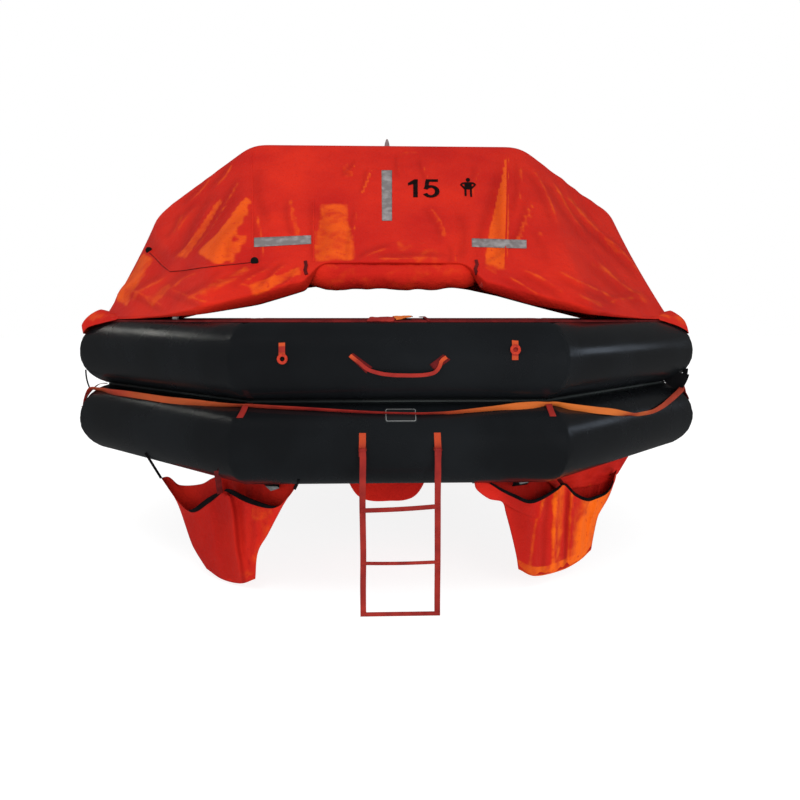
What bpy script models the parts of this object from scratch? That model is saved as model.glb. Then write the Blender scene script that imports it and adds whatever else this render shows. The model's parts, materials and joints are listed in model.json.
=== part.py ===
"""Inflatable life raft for fifteen people, built part by part.

Two stacked octagonal buoyancy tubes carry a thin floor, an arch tube with a
canopy in two halves, lifelines, grab handles, two webbing boarding ladders,
four water pockets and a gas cylinder in its sling.

X runs across the raft, Y fore and aft with the front entrance at -Y, Z up.
The origin is the middle of the raft at the waterline of the empty raft.
"""
import math

import bmesh
import bpy
from mathutils import Vector

# Driving dimensions, in metres
ACROSS_FLATS = 3.30
TUBE_RADIUS = 0.175
DRAUGHT = 0.06
GAP = 0.0003

TUBE_SIDES = 24
FACET = 360.0 / TUBE_SIDES
CORNERS = 8
CORNER_TURN = 360.0 / CORNERS
HALF_TURN = CORNER_TURN / 2.0

# Places that follow from them
APOTHEM = ACROSS_FLATS / 2.0 - TUBE_RADIUS
BOTTOM_Z = -DRAUGHT
LOWER_Z = BOTTOM_Z + TUBE_RADIUS
UPPER_Z = LOWER_Z + 2.0 * TUBE_RADIUS + GAP
CREST_Z = UPPER_Z + TUBE_RADIUS
CORNER_SLOPE = math.tan(math.radians(HALF_TURN))

# Floor, flat inside and sloping a little down to its seat under the lower tube
FLOOR_THICK = 0.025
FLOOR_EDGE_THICK = 0.0228
FLOOR_FLAT_APOTHEM = APOTHEM - TUBE_RADIUS - 0.02
FLOOR_EDGE_APOTHEM = APOTHEM - 0.497 * TUBE_RADIUS
FLOOR_BOTTOM_APOTHEM = APOTHEM - 0.26 * TUBE_RADIUS

# Arch tube that holds the canopy up, in the X-Z plane
ARCH_RADIUS = 0.10
ARCH_SIDES = 16
CANOPY_TOP_Z = 1.71
ARCH_FLAT_HALF = 0.80
ARCH_KINK_X = 1.32
ARCH_KINK_Z = 1.21
ARCH_FOOT_DEPTH = 0.10

# Canopy, two layers of coated fabric with the air between them
CANOPY_WALL = 0.010
CANOPY_WRAP = (0.0, 22.5, 45.0)
CANOPY_ROWS = 4
RIM_INNER_ANGLE = 20.5
RIM_OUTER_ANGLE = 24.0
FOOT_CLEARANCE = 0.108

# The hem: places along the arch, 0 at its left foot, 1 at its kink, 2 at its corner and
# 2.5 in the middle, each with where the hem lies under it. The first ones lie on the side
# tube, the next on the diagonal tube, and the raised ones go over the entrance.
HEM_ON_SIDE = ((0.12, FOOT_CLEARANCE), (0.55, 0.37))
HEM_ON_DIAGONAL = {
    "front": ((1.0, 0.0), (1.3, 0.28), (1.62, 0.55), (1.85, 0.76)),
    "rear": ((1.0, 0.0), (1.05, 0.06)),
}
HEM_FIRST_LIFT = 0.004
HEM_LIFT_STEP = (0.03, 0.04)
HEM_RAISED = {
    "front": ((2.0, (0.64, 1.20, 0.70)), (2.18, (0.345, 1.12, 0.79))),
    "rear": ((1.3, (1.15, 0.93, 0.715)), (1.62, (0.90, 1.08, 0.785)),
             (2.0, (0.68, 1.16, 0.84)), (2.18, (0.345, 1.09, 0.885))),
}
HEM_RECESS = {"front": (0.335, 1.016, 0.88), "rear": (0.335, 0.986, 0.98)}
RECESS_STATIONS = ((2.20, 1.0), (2.25, 0.5), (2.5, 0.0))

# Strip that the canopy is bonded to, on the upper tube
BAND_ANGLES = (18.5, 26.5)
BAND_THICK = 0.004
BAND_FOOT_CLEARANCE = 0.006

# Cloth of the canopy that comes down over the outer side of the two side tubes
SKIRT_ANGLES = (27.0, 60.0)
SKIRT_THICK = 0.010
SKIRT_NOTCH_HALF = 0.112
SKIRT_NOTCH_OUT = 0.117

# Rolled-up entrance curtain under the raised hem, at shares of its half length
ROLL_HALF_LENGTH = 0.322
ROLL_DEPTH = 0.040
ROLL_HEIGHT = 0.047
ROLL_SIDES = 16
ROLL_SHARES = (-1.0, -0.94, -0.75, 0.0, 0.75, 0.94, 1.0)
ROLL_SWELL = (0.45, 0.80, 0.96, 1.0, 0.96, 0.80, 0.45)

# Webbing and patches
LINE_ANGLES = (33.5, 41.5)
INNER_LINE_ANGLES = (-71.5, -63.5)
LINE_OFFSET = 0.0021
LINE_THICK = 0.004
TAB_X = 0.63
TAB_HALF_WIDTH = 0.013
TAB_ANGLES = (28.0, 58.0)
TAB_THICK = 0.0095
PLATE_HALF_WIDTH = 0.07
PLATE_ANGLES = (22.0, 52.0)
PLATE_THICK = 0.0018
PATCH_THICK = 0.004

# Grab handle on the upper tube over the entrance
HANDLE_HALF = 0.205
HANDLE_PATCH_WIDTH = 0.070
HANDLE_PATCH_ANGLES = (79.0, 104.0)
HANDLE_BULGE = 0.030
HANDLE_SAG = 0.040
HANDLE_STEPS = 12
HANDLE_THICK = 0.003
WEBBING_WIDTH = 0.025

# Ring tabs on the upper tube
RING_TAB_X = 0.47
RING_TAB_HALF_WIDTH = 0.016
RING_TAB_ANGLES = (62.0, 85.0)
RING_RADIUS = 0.021
RING_WIRE = 0.003
RING_TURNS = 20
RING_SIDES = 8

# Boarding ladder
LADDER_HALF = 0.151
LADDER_STRAP = 0.024
LADDER_THICK = 0.006
LADDER_DROP = 0.665
RUNG_HEIGHT = 0.016
RUNG_SPACING = 0.212
HINGE_OUT = 0.018
PIN_RADIUS = 0.004
EYE_BORE = 0.0043
EYE_RADIUS = 0.010
RUNG_COUNT = 3
CUT_PAST = 0.010
ANCHOR_HALF_WIDTH = 0.024
ANCHOR_ANGLES = (66.0, 104.0)
EAR_THICK = 0.004
EAR_HALF_HEIGHT = 0.009
EAR_SIDE_CLEARANCE = 0.002
EAR_PAST_PIN = 0.003
EAR_FOOT_OUT = 0.002
STRAP_END_CLEARANCE = 0.002

# Water pockets
POCKET_CENTRE = (0.765, 1.20)
POCKET_TURN = 35.0
POCKET_TOP_Z = BOTTOM_Z - 0.055
POCKET_BOTTOM_Z = -0.550
POCKET_WALL = 0.006
POCKET_MOUTH = (0.395, 0.13)
POCKET_BASE = (0.14, 0.070)
POCKET_TILT = 0.030
POCKET_POINTS = 16
POCKET_LEVELS = (0.0, 0.25, 0.55, 0.8, 1.0)
POCKET_TAPER = 0.85
POCKET_SQUARENESS = 0.7
STRAP_WIDTH = 0.020
STRAP_THICK = 0.014
STRAP_BELOW_RIM = 0.020

# Gas cylinder in its sling under the floor, at shares of its length
CYLINDER_X = -0.04
CYLINDER_RADIUS = 0.068
CYLINDER_FRONT_Y = -1.20
CYLINDER_LENGTH = 0.58
CYLINDER_SIDES = 20
CYLINDER_SHARES = (0.0, 0.03, 0.10, 0.90, 0.97, 1.0)
CYLINDER_SIZES = (0.45, 0.78, 1.0, 1.0, 0.78, 0.35)
VALVE_LENGTH = 0.07
VALVE_RADIUS = 0.02
SLING_STEPS = 13
SLING_HALF_WIDTH = 0.18
SLING_DEPTH = 0.150
SLING_WALL = 0.005
SLING_LENGTH = 0.40

# Lamp on the arch: height over its base and radius
LAMP_PROFILE = ((0.0, 0.022), (0.006, 0.022), (0.010, 0.016), (0.036, 0.006))
LAMP_SIDES = 16

# Strap under the floor by which a capsized raft is pulled upright
RIGHTING_INSET = 0.05
RIGHTING_HALF_WIDTH = 0.02
RIGHTING_THICK = 0.004

# Colours: red, green, blue and alpha
CANOPY_RED = (0.70, 0.035, 0.016, 1.0)
POCKET_RED = (0.55, 0.03, 0.02, 1.0)
WEBBING_RED = (0.30, 0.03, 0.025, 1.0)
LINE_ORANGE = (0.60, 0.12, 0.03, 1.0)
TUBE_BLACK = (0.012, 0.014, 0.016, 1.0)
FLOOR_BLACK = (0.02, 0.02, 0.022, 1.0)
PLATE_GREY = (0.05, 0.055, 0.06, 1.0)
LIGHT_GREY = (0.45, 0.46, 0.47, 1.0)
STEEL_GREY = (0.40, 0.42, 0.44, 1.0)
VALVE_YELLOW = (0.50, 0.42, 0.25, 1.0)


def clear_scene():
    for item in list(bpy.data.objects):
        bpy.data.objects.remove(item, do_unlink=True)


def material(name, colour, roughness, metallic=0.0):
    made = bpy.data.materials.new(name)
    made.use_nodes = True
    shader = made.node_tree.nodes["Principled BSDF"]
    shader.inputs["Base Color"].default_value = colour
    shader.inputs["Roughness"].default_value = roughness
    shader.inputs["Metallic"].default_value = metallic
    return made


def add_object(name, mesh, finish, smooth_angle=None):
    made = bpy.data.objects.new(name, mesh)
    bpy.context.scene.collection.objects.link(made)
    colour, roughness, metallic = finish
    mesh.materials.append(material(name, colour, roughness, metallic))
    if smooth_angle:
        mesh.shade_smooth()
        mesh.set_sharp_from_angle(angle=math.radians(smooth_angle))
    return made


def add_cutter(name, mesh):
    cutter = bpy.data.objects.new(name, mesh)
    bpy.context.scene.collection.objects.link(cutter)
    cutter.hide_render = True
    cutter.display_type = "WIRE"
    return cutter


def boolean(target, other, operation):
    step = target.modifiers.new(operation.title() + " " + other.name, "BOOLEAN")
    step.operation = operation
    step.solver = "EXACT"
    step.object = other


def loft(rings, cyclic=False):
    """Skin a row of equal rings of points, capped at both ends unless cyclic."""
    body = bmesh.new()
    rows = [[body.verts.new(point) for point in ring] for ring in rings]
    count = len(rows[0])
    pairs = list(zip(rows, rows[1:]))
    if cyclic:
        pairs.append((rows[-1], rows[0]))
    for first, second in pairs:
        for i in range(count):
            j = (i + 1) % count
            body.faces.new((first[i], first[j], second[j], second[i]))
    if not cyclic:
        body.faces.new(list(reversed(rows[0])))
        body.faces.new(rows[-1])
    bmesh.ops.recalc_face_normals(body, faces=body.faces)
    mesh = bpy.data.meshes.new("shape")
    body.to_mesh(mesh)
    body.free()
    return mesh


def join_meshes(meshes):
    """Several closed shapes in one mesh, used for cutters and unions only."""
    body = bmesh.new()
    for mesh in meshes:
        body.from_mesh(mesh)
    joined = bpy.data.meshes.new("joined")
    body.to_mesh(joined)
    body.free()
    return joined


def box(low, high):
    lower = [(low[0], low[1], low[2]), (high[0], low[1], low[2]),
             (high[0], high[1], low[2]), (low[0], high[1], low[2])]
    upper = [(x, y, high[2]) for x, y, _ in lower]
    return loft([lower, upper])


def round_bar(start, end, radius, sides=16):
    """A straight bar between two points."""
    start = Vector(start)
    end = Vector(end)
    turn = (end - start).to_track_quat("Z", "Y")
    rings = []
    for centre in (start, end):
        ring = []
        for i in range(sides):
            angle = 2.0 * math.pi * i / sides
            offset = Vector((radius * math.cos(angle), radius * math.sin(angle), 0.0))
            ring.append(centre + turn @ offset)
        rings.append(ring)
    return loft(rings)


def tube_radius_at(angle, offset):
    """Distance from the tube's axis to a line lying offset above its facet."""
    middle = (math.floor(angle / FACET) + 0.5) * FACET
    flat = TUBE_RADIUS * math.cos(math.radians(FACET / 2.0)) + offset
    return flat / math.cos(math.radians(angle - middle))


def tube_point(centre_z, angle, offset):
    """Apothem and height of a point on a tube, its angle from the crest outwards."""
    radius = tube_radius_at(angle, offset)
    out = radius * math.sin(math.radians(angle))
    up = radius * math.cos(math.radians(angle))
    return APOTHEM + out, centre_z + up


def patch_profile(centre_z, angles, inner, outer):
    """Closed section of a patch that follows the tube's facets."""
    first, last = angles
    stops = [first]
    step = math.floor(first / FACET) + 1
    while step * FACET < last - 0.01:
        stops.append(step * FACET)
        step += 1
    stops.append(last)
    under = [tube_point(centre_z, angle, inner) for angle in stops]
    over = [tube_point(centre_z, angle, outer) for angle in reversed(stops)]
    return under + over


def corner_point(apothem, height, index):
    reach = apothem / math.cos(math.radians(HALF_TURN))
    angle = math.radians(HALF_TURN + CORNER_TURN * index)
    return Vector((reach * math.cos(angle), reach * math.sin(angle), height))


def octagon_ring(profile):
    rings = []
    for index in range(CORNERS):
        rings.append([corner_point(a, z, index) for a, z in profile])
    return loft(rings, cyclic=True)


def front_patch(profile, low_x, high_x):
    """A patch on the front side of the octagon, from low_x to high_x."""
    rings = []
    for x in (low_x, high_x):
        rings.append([(x, -a, z) for a, z in profile])
    return loft(rings)


def turned(item, eighths):
    """Turn an object made on the front side round to another side."""
    item.rotation_euler = (0.0, 0.0, math.radians(CORNER_TURN * eighths))
    return item


def mirrored_points(points):
    return [Vector((-p[0], p[1], p[2])) for p in points]


def buoyancy_tubes():
    finish = (TUBE_BLACK, 0.35, 0.0)
    for name, centre_z in (("lower_tube", LOWER_Z), ("upper_tube", UPPER_Z)):
        angles = [i * FACET for i in range(TUBE_SIDES)]
        profile = []
        for angle in angles:
            out = TUBE_RADIUS * math.sin(math.radians(angle))
            up = TUBE_RADIUS * math.cos(math.radians(angle))
            profile.append((APOTHEM + out, centre_z + up))
        add_object(name, octagon_ring(profile), finish, 40.0)


def raft_floor():
    section = [
        (FLOOR_BOTTOM_APOTHEM, BOTTOM_Z),
        (FLOOR_EDGE_APOTHEM, BOTTOM_Z + FLOOR_EDGE_THICK),
        (FLOOR_FLAT_APOTHEM, BOTTOM_Z + FLOOR_THICK),
    ]
    rings = []
    for apothem, height in section:
        rings.append([corner_point(apothem, height, i) for i in range(CORNERS)])
    add_object("floor", loft(rings), (FLOOR_BLACK, 0.6, 0.0))


def arch_stations():
    """Points of the arch's axis with their mitred outward directions."""
    top_z = CANOPY_TOP_Z - CANOPY_WALL - GAP - ARCH_RADIUS
    foot = Vector((APOTHEM, 0.0, CREST_Z))
    kink = Vector((ARCH_KINK_X, 0.0, ARCH_KINK_Z))
    corner = Vector((ARCH_FLAT_HALF, 0.0, top_z))
    leg = (foot - kink).normalized()
    right = [corner, kink, foot + leg * ARCH_FOOT_DEPTH]
    left = [Vector((-p.x, 0.0, p.z)) for p in reversed(right)]
    return left + right


def outward(direction):
    """The normal of a run of the arch, in its plane, away from the cabin."""
    return Vector((-direction.z, 0.0, direction.x))


def arch_frame(distance):
    """Axis point and mitred normal at a share of the arch's stations."""
    points = arch_stations()
    index = min(int(distance), len(points) - 2)
    share = distance - index
    run = (points[index + 1] - points[index]).normalized()
    here = points[index].lerp(points[index + 1], share)
    normal = outward(run)
    if share < 1e-6 and index > 0:
        before = (points[index] - points[index - 1]).normalized()
        mitre = (outward(before) + normal).normalized()
        normal = mitre / mitre.dot(normal)
    return here, normal


def arch_ring(distance, radius, angles):
    here, normal = arch_frame(distance)
    ring = []
    for angle in angles:
        turn = math.radians(angle)
        across = Vector((0.0, -radius * math.sin(turn), 0.0))
        ring.append(here + normal * (radius * math.cos(turn)) + across)
    return ring


def arch_tube():
    angles = [360.0 * i / ARCH_SIDES for i in range(ARCH_SIDES)]
    last = len(arch_stations()) - 1
    rings = [arch_ring(float(i), ARCH_RADIUS, angles) for i in range(last)]
    here, _ = arch_frame(last - 1e-7)
    run = (here - arch_stations()[last - 1]).normalized()
    ending = []
    for angle in angles:
        turn = math.radians(angle)
        across = Vector((0.0, -ARCH_RADIUS * math.sin(turn), 0.0))
        ending.append(here + outward(run) * (ARCH_RADIUS * math.cos(turn)) + across)
    rings.append(ending)
    arch = add_object("arch_tube", loft(rings), (TUBE_BLACK, 0.4, 0.0), 40.0)
    saddle_profile = []
    for i in range(TUBE_SIDES):
        angle = i * FACET
        radius = TUBE_RADIUS + GAP / math.cos(math.radians(FACET / 2.0))
        out = radius * math.sin(math.radians(angle))
        up = radius * math.cos(math.radians(angle))
        saddle_profile.append((APOTHEM + out, UPPER_Z + up))
    saddle = add_cutter("foot_saddle", octagon_ring(saddle_profile))
    boolean(arch, saddle, "DIFFERENCE")


def rim_point(angle, side, along, lift):
    """A point over the bonding strip on the side or the front left diagonal."""
    apothem, height = tube_point(UPPER_Z, angle, BAND_THICK + GAP + lift)
    if side == "side":
        return Vector((-apothem, -along, height))
    corner = Vector((-apothem, -apothem * CORNER_SLOPE, height))
    front = Vector((-apothem * CORNER_SLOPE, -apothem, height))
    return corner.lerp(front, along)


def hem_pair(side, along, lift):
    outer = rim_point(RIM_OUTER_ANGLE, side, along, lift)
    return outer, rim_point(RIM_INNER_ANGLE, side, along, lift)


def canopy_columns(place):
    """Arch station, outer hem point and inner hem point, from the left foot to the middle."""
    on_tube = [(station, "side", along, 0.0) for station, along in HEM_ON_SIDE]
    for station, along in HEM_ON_DIAGONAL[place]:
        on_tube.append((station, "diagonal", along, 0.0))
    last_station, last_along = HEM_ON_DIAGONAL[place][-1]
    station_step, along_step = HEM_LIFT_STEP
    lifted = (last_station + station_step, "diagonal", last_along + along_step, HEM_FIRST_LIFT)
    on_tube.append(lifted)
    columns = []
    for station, side, along, lift in on_tube:
        outer, inner = hem_pair(side, along, lift)
        columns.append((station, outer, inner))
    raised = list(HEM_RAISED[place])
    half_width, out, height = HEM_RECESS[place]
    for station, share in RECESS_STATIONS:
        raised.append((station, (share * half_width, out, height)))
    for station, (x, y, z) in raised:
        columns.append((station, Vector((-x, -y, z)), None))
    return columns


def wrap_points(station, radius):
    """Rows of the canopy that lie round the arch, from its ridge forwards."""
    flat = math.cos(math.radians(180.0 / ARCH_SIDES))
    points = []
    for angle in CANOPY_WRAP:
        side = 360.0 / ARCH_SIDES
        middle = (math.floor(angle / side) + 0.5) * side
        reach = radius * flat / math.cos(math.radians(angle - middle))
        points += arch_ring(station, reach, [angle])
    return points


def canopy_grids(place):
    """Outer and inner points of one canopy's left half, column by column."""
    gap_radius = ARCH_RADIUS + GAP / math.cos(math.radians(180.0 / ARCH_SIDES))
    outer_grid = []
    inner_ends = []
    for station, outer_hem, inner_hem in canopy_columns(place):
        wrapped = wrap_points(station, gap_radius + CANOPY_WALL)
        under = wrap_points(station, gap_radius)
        last = wrapped[-1]
        rows = [last.lerp(outer_hem, (i + 1) / CANOPY_ROWS) for i in range(CANOPY_ROWS)]
        outer_grid.append(wrapped + rows)
        inner_ends.append((under, inner_hem))
    return outer_grid, inner_ends


def surface_normal(grid, column, row):
    """Normal of the cloth at a grid point, from its neighbours."""
    left = grid[max(column - 1, 0)][row]
    right = grid[min(column + 1, len(grid) - 1)][row]
    above = grid[column][row - 1]
    below = grid[column][min(row + 1, len(grid[column]) - 1)]
    return (right - left).cross(above - below).normalized()


def canopy_rings(place):
    """Closed sections of one canopy, both made on the front side."""
    outer_grid, inner_ends = canopy_grids(place)
    full = outer_grid + [mirrored_points(col) for col in reversed(outer_grid[:-1])]
    ends = inner_ends + [
        (mirrored_points(under), None if hem is None else mirrored_points([hem])[0])
        for under, hem in reversed(inner_ends[:-1])
    ]
    wraps = len(CANOPY_WRAP)
    rings = []
    for column, outer in enumerate(full):
        under, inner_hem = ends[column]
        inner = list(under)
        for row in range(wraps, len(outer)):
            normal = surface_normal(full, column, row)
            inner.append(outer[row] - normal * CANOPY_WALL)
        if inner_hem is not None:
            inner[-1] = inner_hem
        ring = [Vector(p) for p in outer + list(reversed(inner))]
        for point in ring:
            point.y = min(point.y, -GAP / 2.0)
        rings.append(ring)
    return rings


def canopy():
    finish = (CANOPY_RED, 0.42, 0.0)
    for place, eighths in (("front", 0), ("rear", 4)):
        mesh = loft(canopy_rings(place))
        turned(add_object("canopy_" + place, mesh, finish, 20.0), eighths)


def canopy_skirts():
    """Cloth over the side tubes, notched where the arch stands on the tube."""
    profile = patch_profile(UPPER_Z, SKIRT_ANGLES, GAP, SKIRT_THICK)
    finish = (CANOPY_RED, 0.42, 0.0)
    for side, word, corners in ((-1, "left", (3, 4)), (1, "right", (7, 0))):
        rings = []
        for index in corners:
            rings.append([corner_point(a, z, index) for a, z in profile])
        skirt = add_object("canopy_skirt_" + word, loft(rings), finish, 40.0)
        near = side * (APOTHEM - SKIRT_NOTCH_OUT)
        far = side * (APOTHEM + SKIRT_NOTCH_OUT)
        low = (min(near, far), -SKIRT_NOTCH_HALF, UPPER_Z)
        high = (max(near, far), SKIRT_NOTCH_HALF, CREST_Z + SKIRT_NOTCH_OUT)
        notch = add_cutter("skirt_notch_" + word, box(low, high))
        boolean(skirt, notch, "DIFFERENCE")


def canopy_band():
    """The bonding strip, in two halves that stop at the feet of the arch."""
    profile = patch_profile(UPPER_Z, BAND_ANGLES, GAP, BAND_THICK)
    stop = ARCH_RADIUS + BAND_FOOT_CLEARANCE
    rings = [[Vector((a, -stop, z)) for a, z in profile]]
    for index in (7, 6, 5, 4):
        rings.append([corner_point(a, z, index) for a, z in profile])
    rings.append([Vector((-a, -stop, z)) for a, z in profile])
    finish = (WEBBING_RED, 0.5, 0.0)
    add_object("canopy_band_front", loft(rings), finish)
    turned(add_object("canopy_band_rear", loft(rings), finish), 4)


def curtain_rolls():
    """The rolled entrance curtains, puffy rolls drawn in at their ends."""
    for place, eighths in (("front", 0), ("rear", 4)):
        columns = canopy_rings(place)
        middle = columns[len(columns) // 2]
        seat = middle[len(middle) // 2]
        rings = []
        for share, size in zip(ROLL_SHARES, ROLL_SWELL):
            ring = []
            for i in range(ROLL_SIDES):
                angle = 2.0 * math.pi * i / ROLL_SIDES
                y = seat.y + ROLL_DEPTH * size * math.cos(angle)
                z = seat.z - GAP - ROLL_HEIGHT + ROLL_HEIGHT * size * math.sin(angle)
                ring.append((share * ROLL_HALF_LENGTH, y, z))
            rings.append(ring)
        finish = (CANOPY_RED, 0.45, 0.0)
        turned(add_object("curtain_roll_" + place, loft(rings), finish, 50.0), eighths)


def lifelines():
    finish = (LINE_ORANGE, 0.7, 0.0)
    top = LINE_OFFSET + LINE_THICK
    outer = patch_profile(LOWER_Z, LINE_ANGLES, LINE_OFFSET, top)
    add_object("lifeline_outer", octagon_ring(outer), finish)
    inner = patch_profile(UPPER_Z, INNER_LINE_ANGLES, GAP, LINE_THICK)
    add_object("lifeline_inner", octagon_ring(inner), finish)


def lifeline_tabs():
    """Webbing keepers that hold the outer lifeline near the octagon's corners."""
    margin = 3.0 * GAP
    body = patch_profile(LOWER_Z, TAB_ANGLES, GAP, TAB_THICK)
    slot_angles = (LINE_ANGLES[0] - 1.0, LINE_ANGLES[1] + 1.0)
    slot_top = LINE_OFFSET + LINE_THICK + GAP
    slot = patch_profile(LOWER_Z, slot_angles, LINE_OFFSET - GAP, slot_top)
    number = 0
    for eighths in (0, 2, 4, 6):
        for side in (-1, 1):
            number += 1
            low = side * TAB_X - TAB_HALF_WIDTH
            high = side * TAB_X + TAB_HALF_WIDTH
            finish = (WEBBING_RED, 0.7, 0.0)
            tab = add_object("lifeline_tab_%d" % number, front_patch(body, low, high), finish)
            cut = front_patch(slot, low - margin, high + margin)
            cutter = add_cutter("tab_slot_%d" % number, cut)
            turned(tab, eighths)
            turned(cutter, eighths)
            boolean(tab, cutter, "DIFFERENCE")


def label_plate():
    profile = patch_profile(LOWER_Z, PLATE_ANGLES, GAP, PLATE_THICK)
    mesh = front_patch(profile, -PLATE_HALF_WIDTH, PLATE_HALF_WIDTH)
    add_object("label_plate", mesh, (PLATE_GREY, 0.5, 0.0))


def grab_handles():
    """Two patches and a slack strap, on the front and on the rear."""
    patch = patch_profile(UPPER_Z, HANDLE_PATCH_ANGLES, GAP, PATCH_THICK)
    face = -(ACROSS_FLATS / 2.0 + PATCH_THICK + 2.0 * GAP)
    half_width = WEBBING_WIDTH / 2.0
    patch_x = HANDLE_HALF - HANDLE_PATCH_WIDTH / 2.0
    rings = []
    for i in range(HANDLE_STEPS + 1):
        x = -patch_x + 2.0 * patch_x * i / HANDLE_STEPS
        arc = math.sin(math.pi * i / HANDLE_STEPS)
        y = face - HANDLE_BULGE * arc
        z = UPPER_Z - HANDLE_SAG * arc
        ring = [(x, y, z - half_width), (x, y, z + half_width),
                (x, y - HANDLE_THICK, z + half_width),
                (x, y - HANDLE_THICK, z - half_width)]
        rings.append(ring)
    for place, eighths in (("front", 0), ("rear", 4)):
        for side, word in ((-1, "left"), (1, "right")):
            near = side * (HANDLE_HALF - HANDLE_PATCH_WIDTH)
            far = side * HANDLE_HALF
            mesh = front_patch(patch, min(near, far), max(near, far))
            name = "handle_patch_%s_%s" % (place, word)
            turned(add_object(name, mesh, (WEBBING_RED, 0.7, 0.0)), eighths)
        name = "handle_strap_" + place
        turned(add_object(name, loft(rings), (WEBBING_RED, 0.7, 0.0)), eighths)


def ring_mesh(centre):
    """A plain ring that hangs flat, facing forwards."""
    rings = []
    for i in range(RING_TURNS):
        angle = 2.0 * math.pi * i / RING_TURNS
        ring = []
        for j in range(RING_SIDES):
            around = 2.0 * math.pi * j / RING_SIDES
            reach = RING_RADIUS + RING_WIRE * math.cos(around)
            x = centre[0] + reach * math.cos(angle)
            z = centre[2] + reach * math.sin(angle)
            ring.append((x, centre[1] + RING_WIRE * math.sin(around), z))
        rings.append(ring)
    return loft(rings, cyclic=True)


def ring_tabs():
    """Patches with a ring, where a line is made fast to the upper tube."""
    profile = patch_profile(UPPER_Z, RING_TAB_ANGLES, GAP, 2.0 * PATCH_THICK)
    _, low_z = tube_point(UPPER_Z, RING_TAB_ANGLES[1], PATCH_THICK)
    ring_y = -(ACROSS_FLATS / 2.0 + RING_WIRE + GAP)
    for place, eighths in (("front", 0), ("rear", 4)):
        for side, word in ((-1, "left"), (1, "right")):
            x = side * RING_TAB_X
            mesh = front_patch(profile, x - RING_TAB_HALF_WIDTH, x + RING_TAB_HALF_WIDTH)
            name = "ring_tab_%s_%s" % (place, word)
            tab = turned(add_object(name, mesh, (WEBBING_RED, 0.6, 0.0)), eighths)
            centre = (x, ring_y, low_z - RING_RADIUS + RING_WIRE)
            ring = add_cutter(name + "_ring", ring_mesh(centre))
            turned(ring, eighths)
            boolean(tab, ring, "UNION")


def ladder_meshes():
    """The ladder's plate, its windows, its eyes and their bores, at the front."""
    outside = ACROSS_FLATS / 2.0
    axis_y = -(outside + HINGE_OUT)
    front_y = axis_y - LADDER_THICK / 2.0
    back_y = axis_y + LADDER_THICK / 2.0
    half = LADDER_HALF + LADDER_STRAP / 2.0
    inner = LADDER_HALF - LADDER_STRAP / 2.0
    bottom = LOWER_Z - LADDER_DROP
    past = CUT_PAST
    plate_top = LOWER_Z - EYE_BORE - STRAP_END_CLEARANCE
    plate = box((-half, front_y, bottom), (half, back_y, plate_top))
    windows = []
    for i in range(RUNG_COUNT):
        low = bottom + RUNG_HEIGHT + i * RUNG_SPACING
        high = low + RUNG_SPACING - RUNG_HEIGHT
        if i == RUNG_COUNT - 1:
            high = LOWER_Z + past
        windows.append(box((-inner, front_y - past, low), (inner, back_y + past, high)))
    eyes = []
    bores = []
    for side in (-1, 1):
        x = side * LADDER_HALF
        reach = LADDER_STRAP / 2.0
        start = (x - reach, axis_y, LOWER_Z)
        end = (x + reach, axis_y, LOWER_Z)
        eyes.append(round_bar(start, end, EYE_RADIUS))
        far = (end[0] + past, axis_y, LOWER_Z)
        bores.append(round_bar((start[0] - past, axis_y, LOWER_Z), far, EYE_BORE))
    return plate, windows, eyes, bores


def ladders():
    """Webbing boarding ladders, each hung from two anchors on the lower tube."""
    axis_y = -(ACROSS_FLATS / 2.0 + HINGE_OUT)
    for place, eighths in (("front", 0), ("rear", 4)):
        plate, windows, eyes, bores = ladder_meshes()
        name = "ladder_" + place
        ladder = turned(add_object(name, plate, (WEBBING_RED, 0.7, 0.0)), eighths)
        for mesh, word, operation in ((join_meshes(windows), "_windows", "DIFFERENCE"),
                                      (join_meshes(eyes), "_eyes", "UNION"),
                                      (join_meshes(bores), "_bores", "DIFFERENCE")):
            tool = turned(add_cutter(name + word, mesh), eighths)
            boolean(ladder, tool, operation)
        for side, word in ((-1, "left"), (1, "right")):
            add_anchor("ladder_anchor_%s_%s" % (place, word), side * LADDER_HALF, axis_y, eighths)


def add_anchor(name, x, axis_y, eighths):
    """A patch on the tube with two ears and the pin that the ladder swings on."""
    profile = patch_profile(LOWER_Z, ANCHOR_ANGLES, GAP, PATCH_THICK)
    mesh = front_patch(profile, x - ANCHOR_HALF_WIDTH, x + ANCHOR_HALF_WIDTH)
    anchor = turned(add_object(name, mesh, (LINE_ORANGE, 0.7, 0.0)), eighths)
    inner = LADDER_STRAP / 2.0 + EAR_SIDE_CLEARANCE
    front = axis_y - PIN_RADIUS - EAR_PAST_PIN
    back = -(ACROSS_FLATS / 2.0 + EAR_FOOT_OUT)
    ears = []
    for side in (-1, 1):
        near = x + side * inner
        far = x + side * (inner + EAR_THICK)
        low = (min(near, far), front, LOWER_Z - EAR_HALF_HEIGHT)
        high = (max(near, far), back, LOWER_Z + EAR_HALF_HEIGHT)
        ears.append(box(low, high))
    reach = inner + EAR_THICK / 2.0
    pin = round_bar((x - reach, axis_y, LOWER_Z), (x + reach, axis_y, LOWER_Z), PIN_RADIUS)
    for mesh, word in ((join_meshes(ears), "_ears"), (pin, "_pin")):
        tool = turned(add_cutter(name + word, mesh), eighths)
        boolean(anchor, tool, "UNION")


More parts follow.
